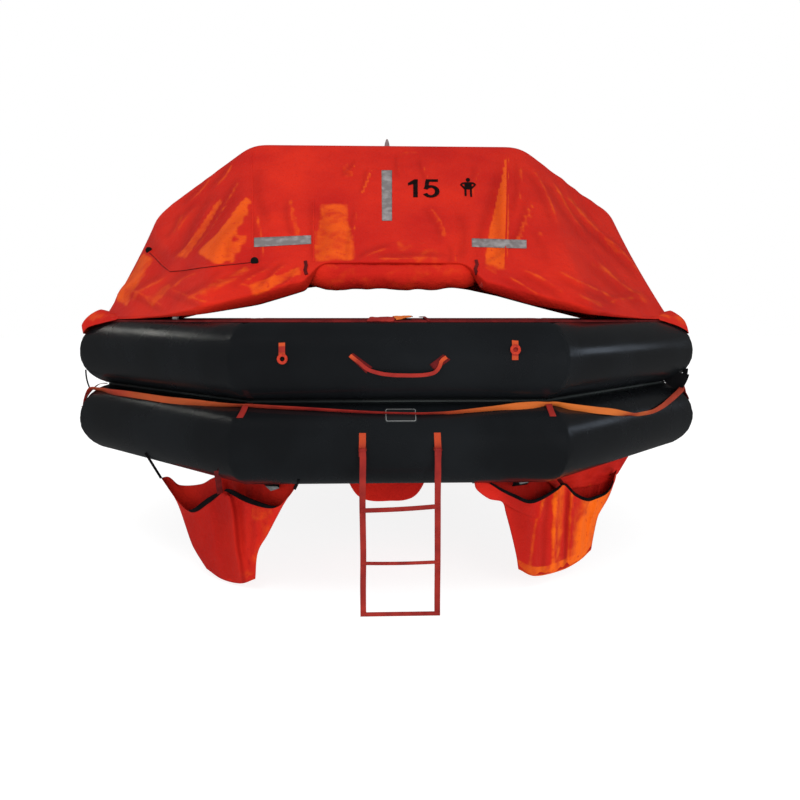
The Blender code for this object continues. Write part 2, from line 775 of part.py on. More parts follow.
def pocket_ring(half_long, half_deep, height, tilt, inset=0.0):
    """A rounded outline of the pocket at one height, long way along X."""
    points = []
    for i in range(POCKET_POINTS):
        angle = 2.0 * math.pi * i / POCKET_POINTS
        cosine = math.cos(angle)
        sine = math.sin(angle)
        x = math.copysign(abs(cosine) ** POCKET_SQUARENESS, cosine) * (half_long - inset)
        y = math.copysign(abs(sine) ** POCKET_SQUARENESS, sine) * (half_deep - inset)
        points.append(Vector((x, y, height + tilt * y / POCKET_MOUTH[1])))
    return points


def pocket_mesh():
    """A tapered bag with an open mouth, its front rim hanging lower."""
    outer = []
    inner = []
    for share in POCKET_LEVELS:
        ease = share ** POCKET_TAPER
        half_long = POCKET_MOUTH[0] + (POCKET_BASE[0] - POCKET_MOUTH[0]) * ease
        half_deep = POCKET_MOUTH[1] + (POCKET_BASE[1] - POCKET_MOUTH[1]) * ease
        height = POCKET_TOP_Z + (POCKET_BOTTOM_Z - POCKET_TOP_Z) * share
        tilt = POCKET_TILT * (1.0 - share)
        outer.append(pocket_ring(half_long, half_deep, height, tilt))
        inner_height = height
        if share == 1.0:
            inner_height = height + POCKET_WALL
        inner.append(pocket_ring(half_long, half_deep, inner_height, tilt, POCKET_WALL))
    return loft(list(reversed(inner)) + outer)


def pocket_straps():
    """Four straps that carry the mouth of the pocket."""
    straps = []
    top = BOTTOM_Z - GAP
    long_side = POCKET_MOUTH[0] - POCKET_WALL / 2.0
    deep_side = POCKET_MOUTH[1] - POCKET_WALL / 2.0
    for x, y in ((-long_side, 0.0), (long_side, 0.0), (0.0, -deep_side), (0.0, deep_side)):
        wide, deep = STRAP_WIDTH / 2.0, STRAP_THICK / 2.0
        if y == 0.0:
            wide, deep = deep, wide
        low = POCKET_TOP_Z - STRAP_BELOW_RIM + min(0.0, POCKET_TILT * y / POCKET_MOUTH[1])
        straps.append(box((x - wide, y - deep, low), (x + wide, y + deep, top)))
    return join_meshes(straps)


def water_pockets():
    """Ballast bags under the four corners beside the entrances."""
    centre_x, centre_y = POCKET_CENTRE
    for front, place in ((-1, "front"), (1, "rear")):
        for side, word in ((-1, "left"), (1, "right")):
            name = "water_pocket_%s_%s" % (place, word)
            pocket = add_object(name, pocket_mesh(), (POCKET_RED, 0.5, 0.0), 60.0)
            straps = add_cutter(name + "_straps", pocket_straps())
            turn = math.radians(-POCKET_TURN * front * side)
            if front > 0:
                turn += math.pi
            for item in (pocket, straps):
                item.location = (side * centre_x, front * centre_y, 0.0)
                item.rotation_euler = (0.0, 0.0, turn)
            boolean(pocket, straps, "UNION")


def gas_cylinder():
    """The cylinder that inflates the raft, its valve and the sling that carries it."""
    floor_under = BOTTOM_Z - GAP
    half_step = math.pi / SLING_STEPS / 2.0
    sling_bottom = (SLING_DEPTH - SLING_WALL) * math.cos(half_step)
    resting = CYLINDER_RADIUS * math.cos(math.pi / CYLINDER_SIDES)
    centre_z = floor_under - sling_bottom + GAP + resting
    start_y = CYLINDER_FRONT_Y
    end_y = start_y + CYLINDER_LENGTH
    rings = []
    for share, size in zip(CYLINDER_SHARES, CYLINDER_SIZES):
        ring = []
        for i in range(CYLINDER_SIDES):
            angle = 2.0 * math.pi * (i + 0.5) / CYLINDER_SIDES
            x = CYLINDER_X + CYLINDER_RADIUS * size * math.cos(angle)
            z = centre_z + CYLINDER_RADIUS * size * math.sin(angle)
            ring.append((x, start_y + (end_y - start_y) * share, z))
        rings.append(ring)
    add_object("gas_cylinder", loft(rings), (STEEL_GREY, 0.4, 0.6), 40.0)
    valve_start = (CYLINDER_X, end_y + GAP, centre_z)
    valve_end = (CYLINDER_X, end_y + VALVE_LENGTH, centre_z)
    valve = round_bar(valve_start, valve_end, VALVE_RADIUS)
    add_object("cylinder_valve", valve, (VALVE_YELLOW, 0.35, 0.8), 40.0)
    add_sling(floor_under, start_y + (CYLINDER_LENGTH - SLING_LENGTH) / 2.0)


def add_sling(top_z, start_y):
    outer = []
    inner = []
    for i in range(SLING_STEPS + 1):
        angle = math.pi * i / SLING_STEPS
        across = math.cos(angle)
        down = math.sin(angle)
        outer.append((CYLINDER_X + SLING_HALF_WIDTH * across, top_z - SLING_DEPTH * down))
        reach = SLING_HALF_WIDTH - SLING_WALL
        depth = SLING_DEPTH - SLING_WALL
        inner.append((CYLINDER_X + reach * across, top_z - depth * down))
    profile = outer + list(reversed(inner))
    rings = []
    for y in (start_y, start_y + SLING_LENGTH):
        rings.append([(x, y, z) for x, z in profile])
    add_object("cylinder_sling", loft(rings), (POCKET_RED, 0.5, 0.0), 40.0)


def arch_light():
    """The lamp on the top of the arch, outside the canopy."""
    base_z = CANOPY_TOP_Z + 2.0 * GAP
    rings = []
    for height, radius in LAMP_PROFILE:
        ring = []
        for i in range(LAMP_SIDES):
            angle = 2.0 * math.pi * i / LAMP_SIDES
            ring.append((radius * math.cos(angle), radius * math.sin(angle), base_z + height))
        rings.append(ring)
    add_object("arch_light", loft(rings), (LIGHT_GREY, 0.3, 0.0), 40.0)


def righting_strap():
    """The strap under the floor by which a capsized raft is pulled upright."""
    half_length = FLOOR_BOTTOM_APOTHEM - RIGHTING_INSET
    low = (-half_length, -RIGHTING_HALF_WIDTH, BOTTOM_Z - GAP - RIGHTING_THICK)
    high = (half_length, RIGHTING_HALF_WIDTH, BOTTOM_Z - GAP)
    add_object("righting_strap", box(low, high), (WEBBING_RED, 0.7, 0.0))


def main():
    clear_scene()
    buoyancy_tubes()
    raft_floor()
    arch_tube()
    canopy()
    canopy_skirts()
    canopy_band()
    curtain_rolls()
    lifelines()
    lifeline_tabs()
    label_plate()
    grab_handles()
    ring_tabs()
    ladders()
    water_pockets()
    gas_cylinder()
    arch_light()
    righting_strap()


main()
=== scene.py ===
# %% [markdown]
# # An inflatable life raft for fifteen persons
# The raft is two black rubber tubes on top of each other, bent into an octagon, with a red
# canopy over an arch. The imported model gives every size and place. This lesson gives each piece
# its real surface, and each step first says what the piece is and how it could be made.

# %% The frame
import json
import math

import bmesh
import bpy
import numpy as np
from mathutils import Matrix, Vector, noise
from mathutils.bvhtree import BVHTree


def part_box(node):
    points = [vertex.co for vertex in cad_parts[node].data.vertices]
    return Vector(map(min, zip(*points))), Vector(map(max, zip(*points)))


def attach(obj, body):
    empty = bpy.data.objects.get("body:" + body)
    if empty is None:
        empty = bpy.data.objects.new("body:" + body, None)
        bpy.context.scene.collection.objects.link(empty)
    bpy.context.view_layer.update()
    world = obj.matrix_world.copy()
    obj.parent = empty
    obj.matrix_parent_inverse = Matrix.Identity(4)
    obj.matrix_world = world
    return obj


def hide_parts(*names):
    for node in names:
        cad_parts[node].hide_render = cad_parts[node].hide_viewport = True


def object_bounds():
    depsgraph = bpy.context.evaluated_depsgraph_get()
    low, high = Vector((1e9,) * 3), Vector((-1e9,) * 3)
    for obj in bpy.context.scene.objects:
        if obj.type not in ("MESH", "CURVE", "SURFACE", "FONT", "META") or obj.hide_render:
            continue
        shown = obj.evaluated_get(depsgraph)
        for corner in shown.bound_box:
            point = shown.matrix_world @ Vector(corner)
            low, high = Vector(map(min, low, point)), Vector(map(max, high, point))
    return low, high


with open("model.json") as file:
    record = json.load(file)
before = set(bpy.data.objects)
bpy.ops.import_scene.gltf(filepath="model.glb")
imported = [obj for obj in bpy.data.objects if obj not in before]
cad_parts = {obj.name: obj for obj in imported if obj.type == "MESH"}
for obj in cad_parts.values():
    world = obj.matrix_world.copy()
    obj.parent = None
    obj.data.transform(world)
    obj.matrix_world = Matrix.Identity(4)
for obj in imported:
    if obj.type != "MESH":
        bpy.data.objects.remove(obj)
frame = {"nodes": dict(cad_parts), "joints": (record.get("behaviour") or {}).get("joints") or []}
cad_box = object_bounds()
nodes = frame["nodes"]
print("pieces in the frame:", len(nodes))

# %% [markdown]
# ## The camera
# The picture is taken from straight ahead, level with the top of the upper tube, so light shines
# through the entrance. A camera can be found by trial, but fitting it to the tubes' outline is
# surer. It is turned by two degrees, and a small shift puts the raft where the picture has it.

# %% The camera
PICTURE = 800
CAMERA_ASIDE = 0.0189
CAMERA_DISTANCE = 4.5211
CAMERA_HEIGHT = 0.6381
CAMERA_TURN = math.radians(2.07)
FOCAL = 714.25
MIDDLE_COLUMN = 390.0
HORIZON_ROW = 318.5

ZED = Vector((0.0, 0.0, 1.0))
RIGHTWARDS = Vector((math.cos(CAMERA_TURN), -math.sin(CAMERA_TURN), 0.0))
AHEAD = Vector((math.sin(CAMERA_TURN), math.cos(CAMERA_TURN), 0.0))
EYE = RIGHTWARDS * CAMERA_ASIDE - AHEAD * CAMERA_DISTANCE + ZED * CAMERA_HEIGHT

camera_data = bpy.data.cameras.new("camera")
camera = bpy.data.objects.new("camera", camera_data)
bpy.context.scene.collection.objects.link(camera)
camera.location = EYE
camera.rotation_euler = (math.pi / 2, 0.0, -CAMERA_TURN)
camera_data.sensor_width = 36.0
camera_data.lens = camera_data.sensor_width * FOCAL / PICTURE
camera_data.shift_x = (PICTURE / 2 - MIDDLE_COLUMN) / PICTURE
camera_data.shift_y = (HORIZON_ROW - PICTURE / 2) / PICTURE
bpy.context.scene.camera = camera


def picture_place(points):
    """Columns and rows of the picture at which an array of points shows."""
    away = np.asarray(points, float) - np.array(EYE)
    depth = away @ np.array(AHEAD)
    column = MIDDLE_COLUMN + FOCAL * (away @ np.array(RIGHTWARDS)) / depth
    row = HORIZON_ROW - FOCAL * away[..., 2] / depth
    return column, row


def line_of_sight(column, row):
    """The direction from the camera to what shows at a column and row of the picture."""
    aside = RIGHTWARDS * ((column - MIDDLE_COLUMN) / FOCAL)
    return (AHEAD + aside + ZED * ((HORIZON_ROW - row) / FOCAL)).normalized()


print("lens in millimetres:", round(camera_data.lens, 2))

# %% [markdown]
# ## Floor and light
# The raft hangs in the picture, so the studio floor lies just under the ladder and the pockets.
# A white surround lights everything softly, and two large lamps in front shape the canopy's
# folds. Two small, weak lamps at the sides draw the pale lines of light on the tubes.

# %% Floor and light
FLOOR_BELOW = 0.040
FLOOR_REACH = 40.0
SURROUND = 0.74
SEEN_IN_GLOSS = 0.085
# Place, target, width, length, watts, colour, and whether the lamp shows in glossy surfaces.
LAMPS = {
    "lamp_above": ((-1.3, -3.8, 4.2), (0.0, -0.3, 0.9), 2.4, 1.8, 92.0, (1.0, 1.0, 1.0), False),
    "lamp_front": ((1.8, -4.8, 0.8), (0.1, -0.9, 0.8), 2.2, 1.6, 42.0, (1.0, 0.98, 0.98), False),
    "lamp_left": ((-4.7, 1.5, 2.8), (-1.2, -1.1, 0.57), 1.0, 0.22, 4.5, (1.0, 1.0, 0.92), True),
    "lamp_right": ((4.6, -0.2, 1.05), (0.85, -1.5, 0.35), 0.6, 0.5, 1.8, (0.7, 0.82, 1.0), True),
}


def add_node(tree, kind, sockets=None, **settings):
    """Adds a node, sets its settings, and links or fills its sockets."""
    whole_name = kind.startswith(("Geometry", "NodeGroup"))
    made = tree.nodes.new(kind if whole_name else "ShaderNode" + kind)
    for setting, value in settings.items():
        setattr(made, setting, value)
    for socket, value in (sockets or {}).items():
        target = made.inputs[socket]
        if isinstance(value, bpy.types.NodeSocket):
            tree.links.new(value, target)
        else:
            target.default_value = value
    return made


scene = bpy.context.scene
scene.view_settings.view_transform = "Standard"
floor_mesh = bpy.data.meshes.new("studio_floor")
floor_corners = [(x * FLOOR_REACH, y * FLOOR_REACH, cad_box[0].z - FLOOR_BELOW)
                 for x, y in ((-1, -1), (1, -1), (1, 1), (-1, 1))]
floor_mesh.from_pydata(floor_corners, [], [(0, 1, 2, 3)])
studio_floor = bpy.data.objects.new("studio_floor", floor_mesh)
scene.collection.objects.link(studio_floor)
studio_floor.visible_glossy = False

scene.world = bpy.data.worlds.new("studio")
scene.world.use_nodes = True
tree = scene.world.node_tree
background = tree.nodes["Background"]
background.inputs["Color"].default_value = (1.0, 1.0, 1.0, 1.0)
rays = add_node(tree, "LightPath").outputs
seen = add_node(tree, "MapRange", {"Value": rays["Is Camera Ray"], "To Min": SURROUND})
mirrored = add_node(tree, "MapRange", {"Value": rays["Is Glossy Ray"], "To Max": SEEN_IN_GLOSS,
                                       "To Min": seen.outputs["Result"]})
tree.links.new(mirrored.outputs["Result"], background.inputs["Strength"])

for name, (place, target, width, length, power, colour, in_gloss) in LAMPS.items():
    lamp = bpy.data.lights.new(name, "AREA")
    lamp.shape = "RECTANGLE"
    lamp.size, lamp.size_y = width, length
    lamp.energy = power
    lamp.color = colour
    holder = bpy.data.objects.new(name, lamp)
    scene.collection.objects.link(holder)
    holder.location = place
    holder.visible_camera = False
    holder.visible_glossy = in_gloss
    holder.rotation_euler = (Vector(target) - Vector(place)).to_track_quat("-Z", "Y").to_euler()
print("lamps:", len(LAMPS))

# %% [markdown]
# ## Materials
# Every surface here is rubber, paint or woven cloth. A photographed texture would be quick, but
# a procedural one is built from noise and waves and keeps its scale wherever the piece goes.

# %% Material helpers


def start_material(name, roughness, metallic=0.0, specular=0.5):
    """A new material, its node tree and shader, and the socket of Object coordinates."""
    material = bpy.data.materials.new(name)
    material.use_nodes = True
    tree = material.node_tree
    shader = tree.nodes["Principled BSDF"]
    shader.inputs["Roughness"].default_value = roughness
    shader.inputs["Metallic"].default_value = metallic
    shader.inputs["Specular IOR Level"].default_value = specular
    return material, tree, shader, add_node(tree, "TexCoord").outputs["Object"]


def mixed(tree, factor, *colours):
    """Mixes two colours, each a colour or a socket, and returns the mix's socket."""
    pair = [c if isinstance(c, bpy.types.NodeSocket) else (*c, 1.0) for c in colours]
    return add_node(tree, "Mix", {0: factor, 6: pair[0], 7: pair[1]}, data_type="RGBA").outputs[2]


def noisy(tree, place, scale, detail, **more):
    sockets = {"Vector": place, "Scale": scale, "Detail": detail, **more}
    return add_node(tree, "TexNoise", sockets).outputs["Fac"]


def spread(tree, place, scale, detail, low, high):
    """Noise that is stretched so that low to high becomes 0 to 1."""
    sockets = {"Value": noisy(tree, place, scale, detail), "From Min": low, "From Max": high}
    return add_node(tree, "MapRange", sockets).outputs["Result"]


def waves(tree, place, spacing, direction, distortion=0.0):
    """Even ribs at a spacing in metres across one direction of the flat map."""
    sockets = {"Vector": place, "Scale": 0.314 / spacing, "Distortion": distortion}
    return add_node(tree, "TexWave", sockets, bands_direction=direction).outputs["Fac"]


def rough_between(tree, shader, factor, low, high):
    made = add_node(tree, "MapRange", {"Value": factor, "To Min": low, "To Max": high})
    tree.links.new(made.outputs["Result"], shader.inputs["Roughness"])


def add_bump(tree, shader, layers):
    """Stacks bump layers, each a height socket with its distance in metres and strength."""
    last = None
    for height, distance, amount in layers:
        sockets = {"Height": height, "Distance": distance, "Strength": amount}
        if last:
            sockets["Normal"] = last
        last = add_node(tree, "Bump", sockets).outputs["Normal"]
    tree.links.new(last, shader.inputs["Normal"])

# %% Rubber


def rubber(name, colour, worn, roughness, specular):
    """Rubber-coated cloth: faint grey dust, a fine grain, and slow waves of the skin."""
    material, tree, shader, place = start_material(name, roughness, specular=specular)
    dust = spread(tree, place, 2.3, 6.0, 0.42, 0.72)
    tree.links.new(mixed(tree, dust, colour, worn), shader.inputs["Base Color"])
    rough_between(tree, shader, dust, roughness, roughness + 0.12)
    add_bump(tree, shader, [(noisy(tree, place, 9.0, 3.0), 0.004, 0.22),
                            (noisy(tree, place, 900.0, 2.0), 0.0003, 0.15)])
    return material


TUBE_BLACK = rubber("tube rubber", (0.0056, 0.0064, 0.0074), (0.0082, 0.0098, 0.0116), 0.22, 0.30)
FLOOR_BLACK = rubber("floor rubber", (0.008, 0.008, 0.009), (0.018, 0.018, 0.018), 0.55, 0.2)
# The seam's lighter grey is partly painted highlight along the joint.
SEAM_GREY_AND_HIGHLIGHT = rubber("seam rubber and highlight", (0.020, 0.026, 0.026), (0.050, 0.060, 0.060), 0.28, 0.4)
PLATE_GREY = rubber("plate rubber", (0.008, 0.010, 0.011), (0.016, 0.018, 0.020), 0.42, 0.25)
BORDER_GREY = rubber("plate border", (0.16, 0.17, 0.17), (0.26, 0.27, 0.27), 0.45, 0.3)

# %% Coated cloth


def coated_cloth(name, deep, base, lit_colour, roughness, thread):
    """Woven nylon with a rubber coat: orange where its painted light is high, deep red elsewhere."""
    material, tree, shader, place = start_material(name, roughness, specular=0.06)
    flat = add_node(tree, "UVMap", uv_map="flat").outputs["UV"]
    cloud = spread(tree, place, 2.6, 5.0, 0.35, 0.68)
    shade = mixed(tree, cloud, deep, base)
    # The painted light gets an uneven edge from noise, as creased cloth catches light in patches.
    painted_light = add_node(tree, "Attribute", attribute_name="painted_light").outputs["Fac"]
    uneven = add_node(tree, "MapRange", {"Value": noisy(tree, place, 13.0, 5.0, Distortion=0.4),
                                         "From Min": 0.3, "From Max": 0.7,
                                         "To Min": -0.19, "To Max": 0.19}).outputs["Result"]
    edged = add_node(tree, "Math", {0: painted_light, 1: uneven}, operation="ADD").outputs[0]
    edged = add_node(tree, "MapRange", {"Value": edged, "From Min": 0.22, "From Max": 0.80},
                     interpolation_type="SMOOTHSTEP").outputs["Result"]
    shade = mixed(tree, edged, shade, lit_colour)
    # Painted shadow darkens the cloth towards half its deep colour.
    shadow = add_node(tree, "Attribute", attribute_name="shadow").outputs["Fac"]
    shade = mixed(tree, shadow, shade, tuple(0.50 * value for value in deep))
    shade = mixed(tree, spread(tree, place, 55.0, 3.0, 0.60, 0.80), shade, deep)
    tree.links.new(shade, shader.inputs["Base Color"])
    rough_between(tree, shader, cloud, roughness - 0.05, roughness + 0.10)
    shader.inputs["Specular Tint"].default_value = (1.0, 0.45, 0.25, 1.0)
    threads = {0: waves(tree, flat, thread, "X"), 1: waves(tree, flat, thread, "Y")}
    weave = add_node(tree, "Math", threads, operation="MULTIPLY").outputs[0]
    crumple = noisy(tree, place, 17.0, 8.0, Roughness=0.66, Distortion=1.5)
    add_bump(tree, shader, [(crumple, 0.012, 0.55), (weave, 0.0002, 0.25)])
    return material


CANOPY_RED = coated_cloth("canopy cloth", (0.47, 0.013, 0.009), (0.60, 0.022, 0.010),
                          (0.72, 0.085, 0.008), 0.50, 0.0014)
POCKET_RED = coated_cloth("pocket cloth", (0.46, 0.012, 0.010), (0.62, 0.020, 0.011),
                          (0.86, 0.130, 0.008), 0.50, 0.0016)

# %% Webbing, tape and print


def webbing(name, deep, base, rib, lit_colour=None):
    """Woven strap: ribs across its length, two shades of thread, and a dull surface."""
    material, tree, shader, place = start_material(name, 0.66, specular=0.10)
    flat = add_node(tree, "UVMap", uv_map="flat").outputs["UV"]
    ribs = waves(tree, flat, rib, "Y", 0.4)
    shade = mixed(tree, spread(tree, place, 14.0, 4.0, 0.35, 0.70), deep, base)
    if lit_colour:
        # Where the painted light is high, the strap takes its lit colour.
        painted_light = add_node(tree, "Attribute", attribute_name="painted_light").outputs["Fac"]
        shade = mixed(tree, painted_light, shade, lit_colour)
    # The grooves between the ribs are darkened towards the deep colour: painted shade in the
    # recesses.
    groove = add_node(tree, "MapRange", {"Value": ribs, "From Max": 0.35, "To Min": 0.35,
                                         "To Max": 0.0}).outputs["Result"]
    tree.links.new(mixed(tree, groove, shade, deep), shader.inputs["Base Color"])
    add_bump(tree, shader, [(ribs, 0.0008, 0.5), (waves(tree, flat, 2.2 * rib, "X"), 0.0004, 0.3)])
    return material


WEBBING_RED = webbing("red webbing", (0.22, 0.016, 0.014), (0.36, 0.030, 0.021), 0.0022,
                      (0.56, 0.080, 0.022))
WEBBING_ORANGE = webbing("orange webbing", (0.24, 0.016, 0.014), (0.36, 0.026, 0.018), 0.0022,
                         (0.64, 0.165, 0.028))
WEBBING_BLACK = webbing("black webbing", (0.003, 0.003, 0.004), (0.007, 0.007, 0.008), 0.0020)
BAND_RED = webbing("bonding strip", (0.085, 0.007, 0.008), (0.17, 0.012, 0.012), 0.0016)


def plain_finish(name, colour, worn, roughness, metallic=0.0, scale=40.0, specular=0.5):
    """Paint, plastic or ink: one colour with faint wear in it, which on the tape is painted light,
    and a fine uneven surface.
    """
    material, tree, shader, place = start_material(name, roughness, metallic, specular)
    wear_and_light = spread(tree, place, scale, 5.0, 0.45, 0.70)
    tree.links.new(mixed(tree, wear_and_light, colour, worn), shader.inputs["Base Color"])
    rough_between(tree, shader, wear_and_light, roughness, roughness + 0.15)
    add_bump(tree, shader, [(noisy(tree, place, scale * 12, 2.0), 0.0002, 0.2)])
    return material


# On the tape the paler worn colour stands for light catching its crinkles: painted light in patches.
TAPE_GREY = plain_finish("reflective tape", (0.175, 0.158, 0.158), (0.30, 0.28, 0.28), 0.40,
                         scale=24.0, specular=0.3)
INK_BLACK = plain_finish("printed ink", (0.008, 0.004, 0.004), (0.02, 0.006, 0.006), 0.7,
                         specular=0.1)
RING_RED = plain_finish("coated ring", (0.46, 0.034, 0.014), (0.28, 0.018, 0.010), 0.45,
                        scale=90.0, specular=0.2)
BUTTON_BLACK = plain_finish("button", (0.006, 0.006, 0.006), (0.012, 0.012, 0.012), 0.5,
                            specular=0.08)
LAMP_GREY = plain_finish("lamp housing", (0.20, 0.15, 0.15), (0.26, 0.20, 0.20), 0.45,
                         specular=0.2)
PAINT_GREY = plain_finish("cylinder paint", (0.36, 0.38, 0.40), (0.26, 0.27, 0.28), 0.38,
                          metallic=0.3, scale=9.0)
BRASS = plain_finish("valve brass", (0.50, 0.37, 0.16), (0.30, 0.22, 0.12), 0.34,
                     metallic=1.0, scale=50.0)
STEEL = plain_finish("pin steel", (0.42, 0.42, 0.43), (0.22, 0.22, 0.22), 0.30,
                     metallic=1.0, scale=90.0)
WHITE_LINE = plain_finish("white line", (0.80, 0.78, 0.76), (0.7, 0.68, 0.66), 0.6)
FLOOR_WHITE = plain_finish("studio floor", (0.34, 0.34, 0.34), (0.33, 0.33, 0.33), 0.85,
                           scale=1.0, specular=0.1)
FLOOR_GLOW = 0.86
floor_shader = FLOOR_WHITE.node_tree.nodes["Principled BSDF"]
floor_shader.inputs["Emission Color"].default_value = (1.0, 1.0, 1.0, 1.0)
floor_shader.inputs["Emission Strength"].default_value = FLOOR_GLOW
studio_floor.data.materials.append(FLOOR_WHITE)
print("materials:", len(bpy.data.materials))

# %% [markdown]
# ## Mesh helpers
# Cloth, webbing and rubber are skins, so most pieces start as rows of points joined by quads.
# The rows also give a UV map in metres, so a weave keeps its thread size. Webbing is a flat
# section swept along its route, and round things are turned profiles.

# %% Mesh helpers
SIDEWAYS = Vector((1.0, 0.0, 0.0))
# The raft's rear repeats its front, turned by half a turn.
ENDS = (("front", False), ("rear", True))
WELD = 0.00001


def even_shares(count):
    """Shares from 0 to 1, in that many even steps."""
    return [i / count for i in range(count + 1)]


def grid_rows(down, across, point, closed=False):
    """Rows of points from their shares down and right; a closed grid has no last column."""
    columns = even_shares(across)[:across + 1 - closed]
    return [[point(i, j) for j in columns] for i in even_shares(down)]


def bell(value, width):
    """A soft hump: 1 where the value is 0, and near 0 beyond twice the width."""
    return np.exp(-(value / width) ** 2)


def sheet_mesh(name, rows, closed=False):
    """Quads between rows of points, seen from outside when rows go down and columns right."""
    grid = np.array([[tuple(point) for point in row] for row in rows], float)
    height, width = grid.shape[:2]
    wrapped = np.concatenate([grid, grid[:, :1]], axis=1) if closed else grid
    across = np.linalg.norm(np.diff(wrapped, axis=1), axis=2).mean(axis=0)
    down = np.linalg.norm(np.diff(grid, axis=0), axis=2).mean(axis=1)
    across = np.concatenate([[0.0], np.cumsum(across)])
    down = np.concatenate([[0.0], np.cumsum(down)])
    i, j = np.meshgrid(np.arange(height - 1), np.arange(wrapped.shape[1] - 1), indexing="ij")
    i, j = i.ravel(), j.ravel()
    corners = ((0, 0), (1, 0), (1, 1), (0, 1))
    faces = np.stack([(i + a) * width + (j + b) % width for a, b in corners], axis=1)
    mesh = bpy.data.meshes.new(name)
    mesh.from_pydata(grid.reshape(-1, 3).tolist(), [], faces.tolist())
    layer = mesh.uv_layers.new(name="flat")
    places = np.stack([np.stack([across[j + b], down[i + a]], 1) for a, b in corners], axis=1)
    layer.data.foreach_set("uv", places.ravel())
    mesh.polygons.foreach_set("use_smooth", [True] * len(mesh.polygons))
    return mesh


def mended(mesh, weld=0.0, close=False, wall=0.0, outward=True):
    """Welds a mesh's near points, closes its open ends, thickens it or turns its faces out."""
    made = bmesh.new()
    made.from_mesh(mesh)
    if weld:
        bmesh.ops.remove_doubles(made, verts=made.verts, dist=weld)
    if close:
        bmesh.ops.holes_fill(made, edges=[e for e in made.edges if e.is_boundary], sides=0)
    if wall:
        bmesh.ops.solidify(made, geom=made.faces[:], thickness=wall)
    if outward:
        bmesh.ops.recalc_face_normals(made, faces=made.faces)
    made.to_mesh(mesh)
    made.free()
    return mesh


def closed_mesh(name, rows):
    """A closed skin from rows that go round, with flat ends."""
    return mended(sheet_mesh(name, rows, closed=True), close=True)


# A strap has this many points at each place of its path.
STRAP_POINTS = 8


def strap_mesh(name, path, across, width, thick, loop=False):
    """Flat webbing along a path; across is its width's direction, one or one for each point."""
    path = [Vector(point) for point in path]
    count = len(path)
    directions = across if isinstance(across, list) else [Vector(across)] * count
    widths = width if isinstance(width, list) else [width] * count
    rows = []
    for i, centre in enumerate(path):
        before = path[i - 1] if loop or i else path[0]
        after = path[(i + 1) % count] if loop or i < count - 1 else path[-1]
        along = (after - before).normalized()
        side = Vector(directions[i])
        side = (side - along * side.dot(along)).normalized()
        face = side.cross(along)
        half, deep = widths[i] / 2, thick / 2
        inner = half - deep * 0.8
        section = [(-half, -deep * 0.4), (-inner, -deep), (inner, -deep), (half, -deep * 0.4),
                   (half, deep * 0.4), (inner, deep), (-inner, deep), (-half, deep * 0.4)]
        rows.append([centre + side * u + face * v for u, v in section])
    if loop:
        return mended(sheet_mesh(name, rows + [rows[0]], closed=True), weld=WELD)
    return closed_mesh(name, rows)


def turned_mesh(name, profile, centre, axis, sides=32):
    """A turned piece: profile pairs are distance along the axis and radius."""
    turn = Vector(axis).to_track_quat("Z", "Y").to_matrix()
    angles = [math.tau * i / sides for i in range(sides)]
    return closed_mesh(name, [[Vector(centre) + turn @ Vector((radius * math.cos(a),
                                                               radius * math.sin(a), height))
                               for a in angles] for height, radius in profile])


def ring_mesh(name, centre, normal, radius, wire, turns=40, sides=12):
    """A round ring of wire that faces along normal."""
    turn = Vector(normal).to_track_quat("Z", "Y").to_matrix()

    def skin(round_ring, round_wire):
        angle, around = math.tau * round_ring, math.tau * round_wire
        reach = radius + wire * math.cos(around)
        return centre + turn @ Vector((reach * math.cos(angle), reach * math.sin(angle),
                                       wire * math.sin(around)))

    rows = grid_rows(turns, sides, skin, closed=True)
    return mended(sheet_mesh(name, rows, closed=True), weld=WELD)


def joined(name, meshes):
    """One mesh from several, with their UV maps and attributes kept."""
    made = bmesh.new()
    for mesh in meshes:
        made.from_mesh(mesh)
    whole = bpy.data.meshes.new(name)
    made.to_mesh(whole)
    made.free()
    whole.polygons.foreach_set("use_smooth", [True] * len(whole.polygons))
    return whole


def half_turned(mesh, turned=True):
    """The same mesh, turned to the raft's rear where that is asked for."""
    if turned:
        mesh.transform(Matrix.Rotation(math.pi, 4, "Z"))
    return mesh


def paint(mesh, name, values):
    """Stores one number for each point of the mesh, for its material to read."""
    layer = mesh.attributes.new(name, "FLOAT", "POINT")
    layer.data.foreach_set("value", np.asarray(values, np.float32).ravel())


def make_piece(name, mesh, material, slot=None, body="raft", replaced=(), crease=40.0):
    """Links a finished mesh as a piece that rides on a body and may stand for CAD nodes."""
    if crease:
        mesh.set_sharp_from_angle(angle=math.radians(crease))
    piece = bpy.data.objects.new(name, mesh)
    scene.collection.objects.link(piece)
    mesh.materials.clear()
    mesh.materials.append(material)
    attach(piece, body)
    if replaced:
        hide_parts(*replaced)
    print(name, "faces:", len(mesh.polygons))
    return piece


def thicken(piece, thickness, offset=0.0):
    """Gives a skin its thickness with a modifier that stays."""
    wall = piece.modifiers.new("wall", "SOLIDIFY")
    wall.thickness, wall.offset, wall.use_rim = thickness, offset, True


def area_of(mesh):
    return sum(face.area for face in mesh.polygons)


def smooth_step(value, low=0.0, high=1.0):
    share = np.clip((np.asarray(value, float) - low) / (high - low), 0.0, 1.0)
    return share * share * (3.0 - 2.0 * share)


def wobble(x, y, z=0.0, scale=1.0):
    """Smooth noise from -1 to 1."""
    return noise.noise(Vector((x * scale, y * scale, z * scale)))


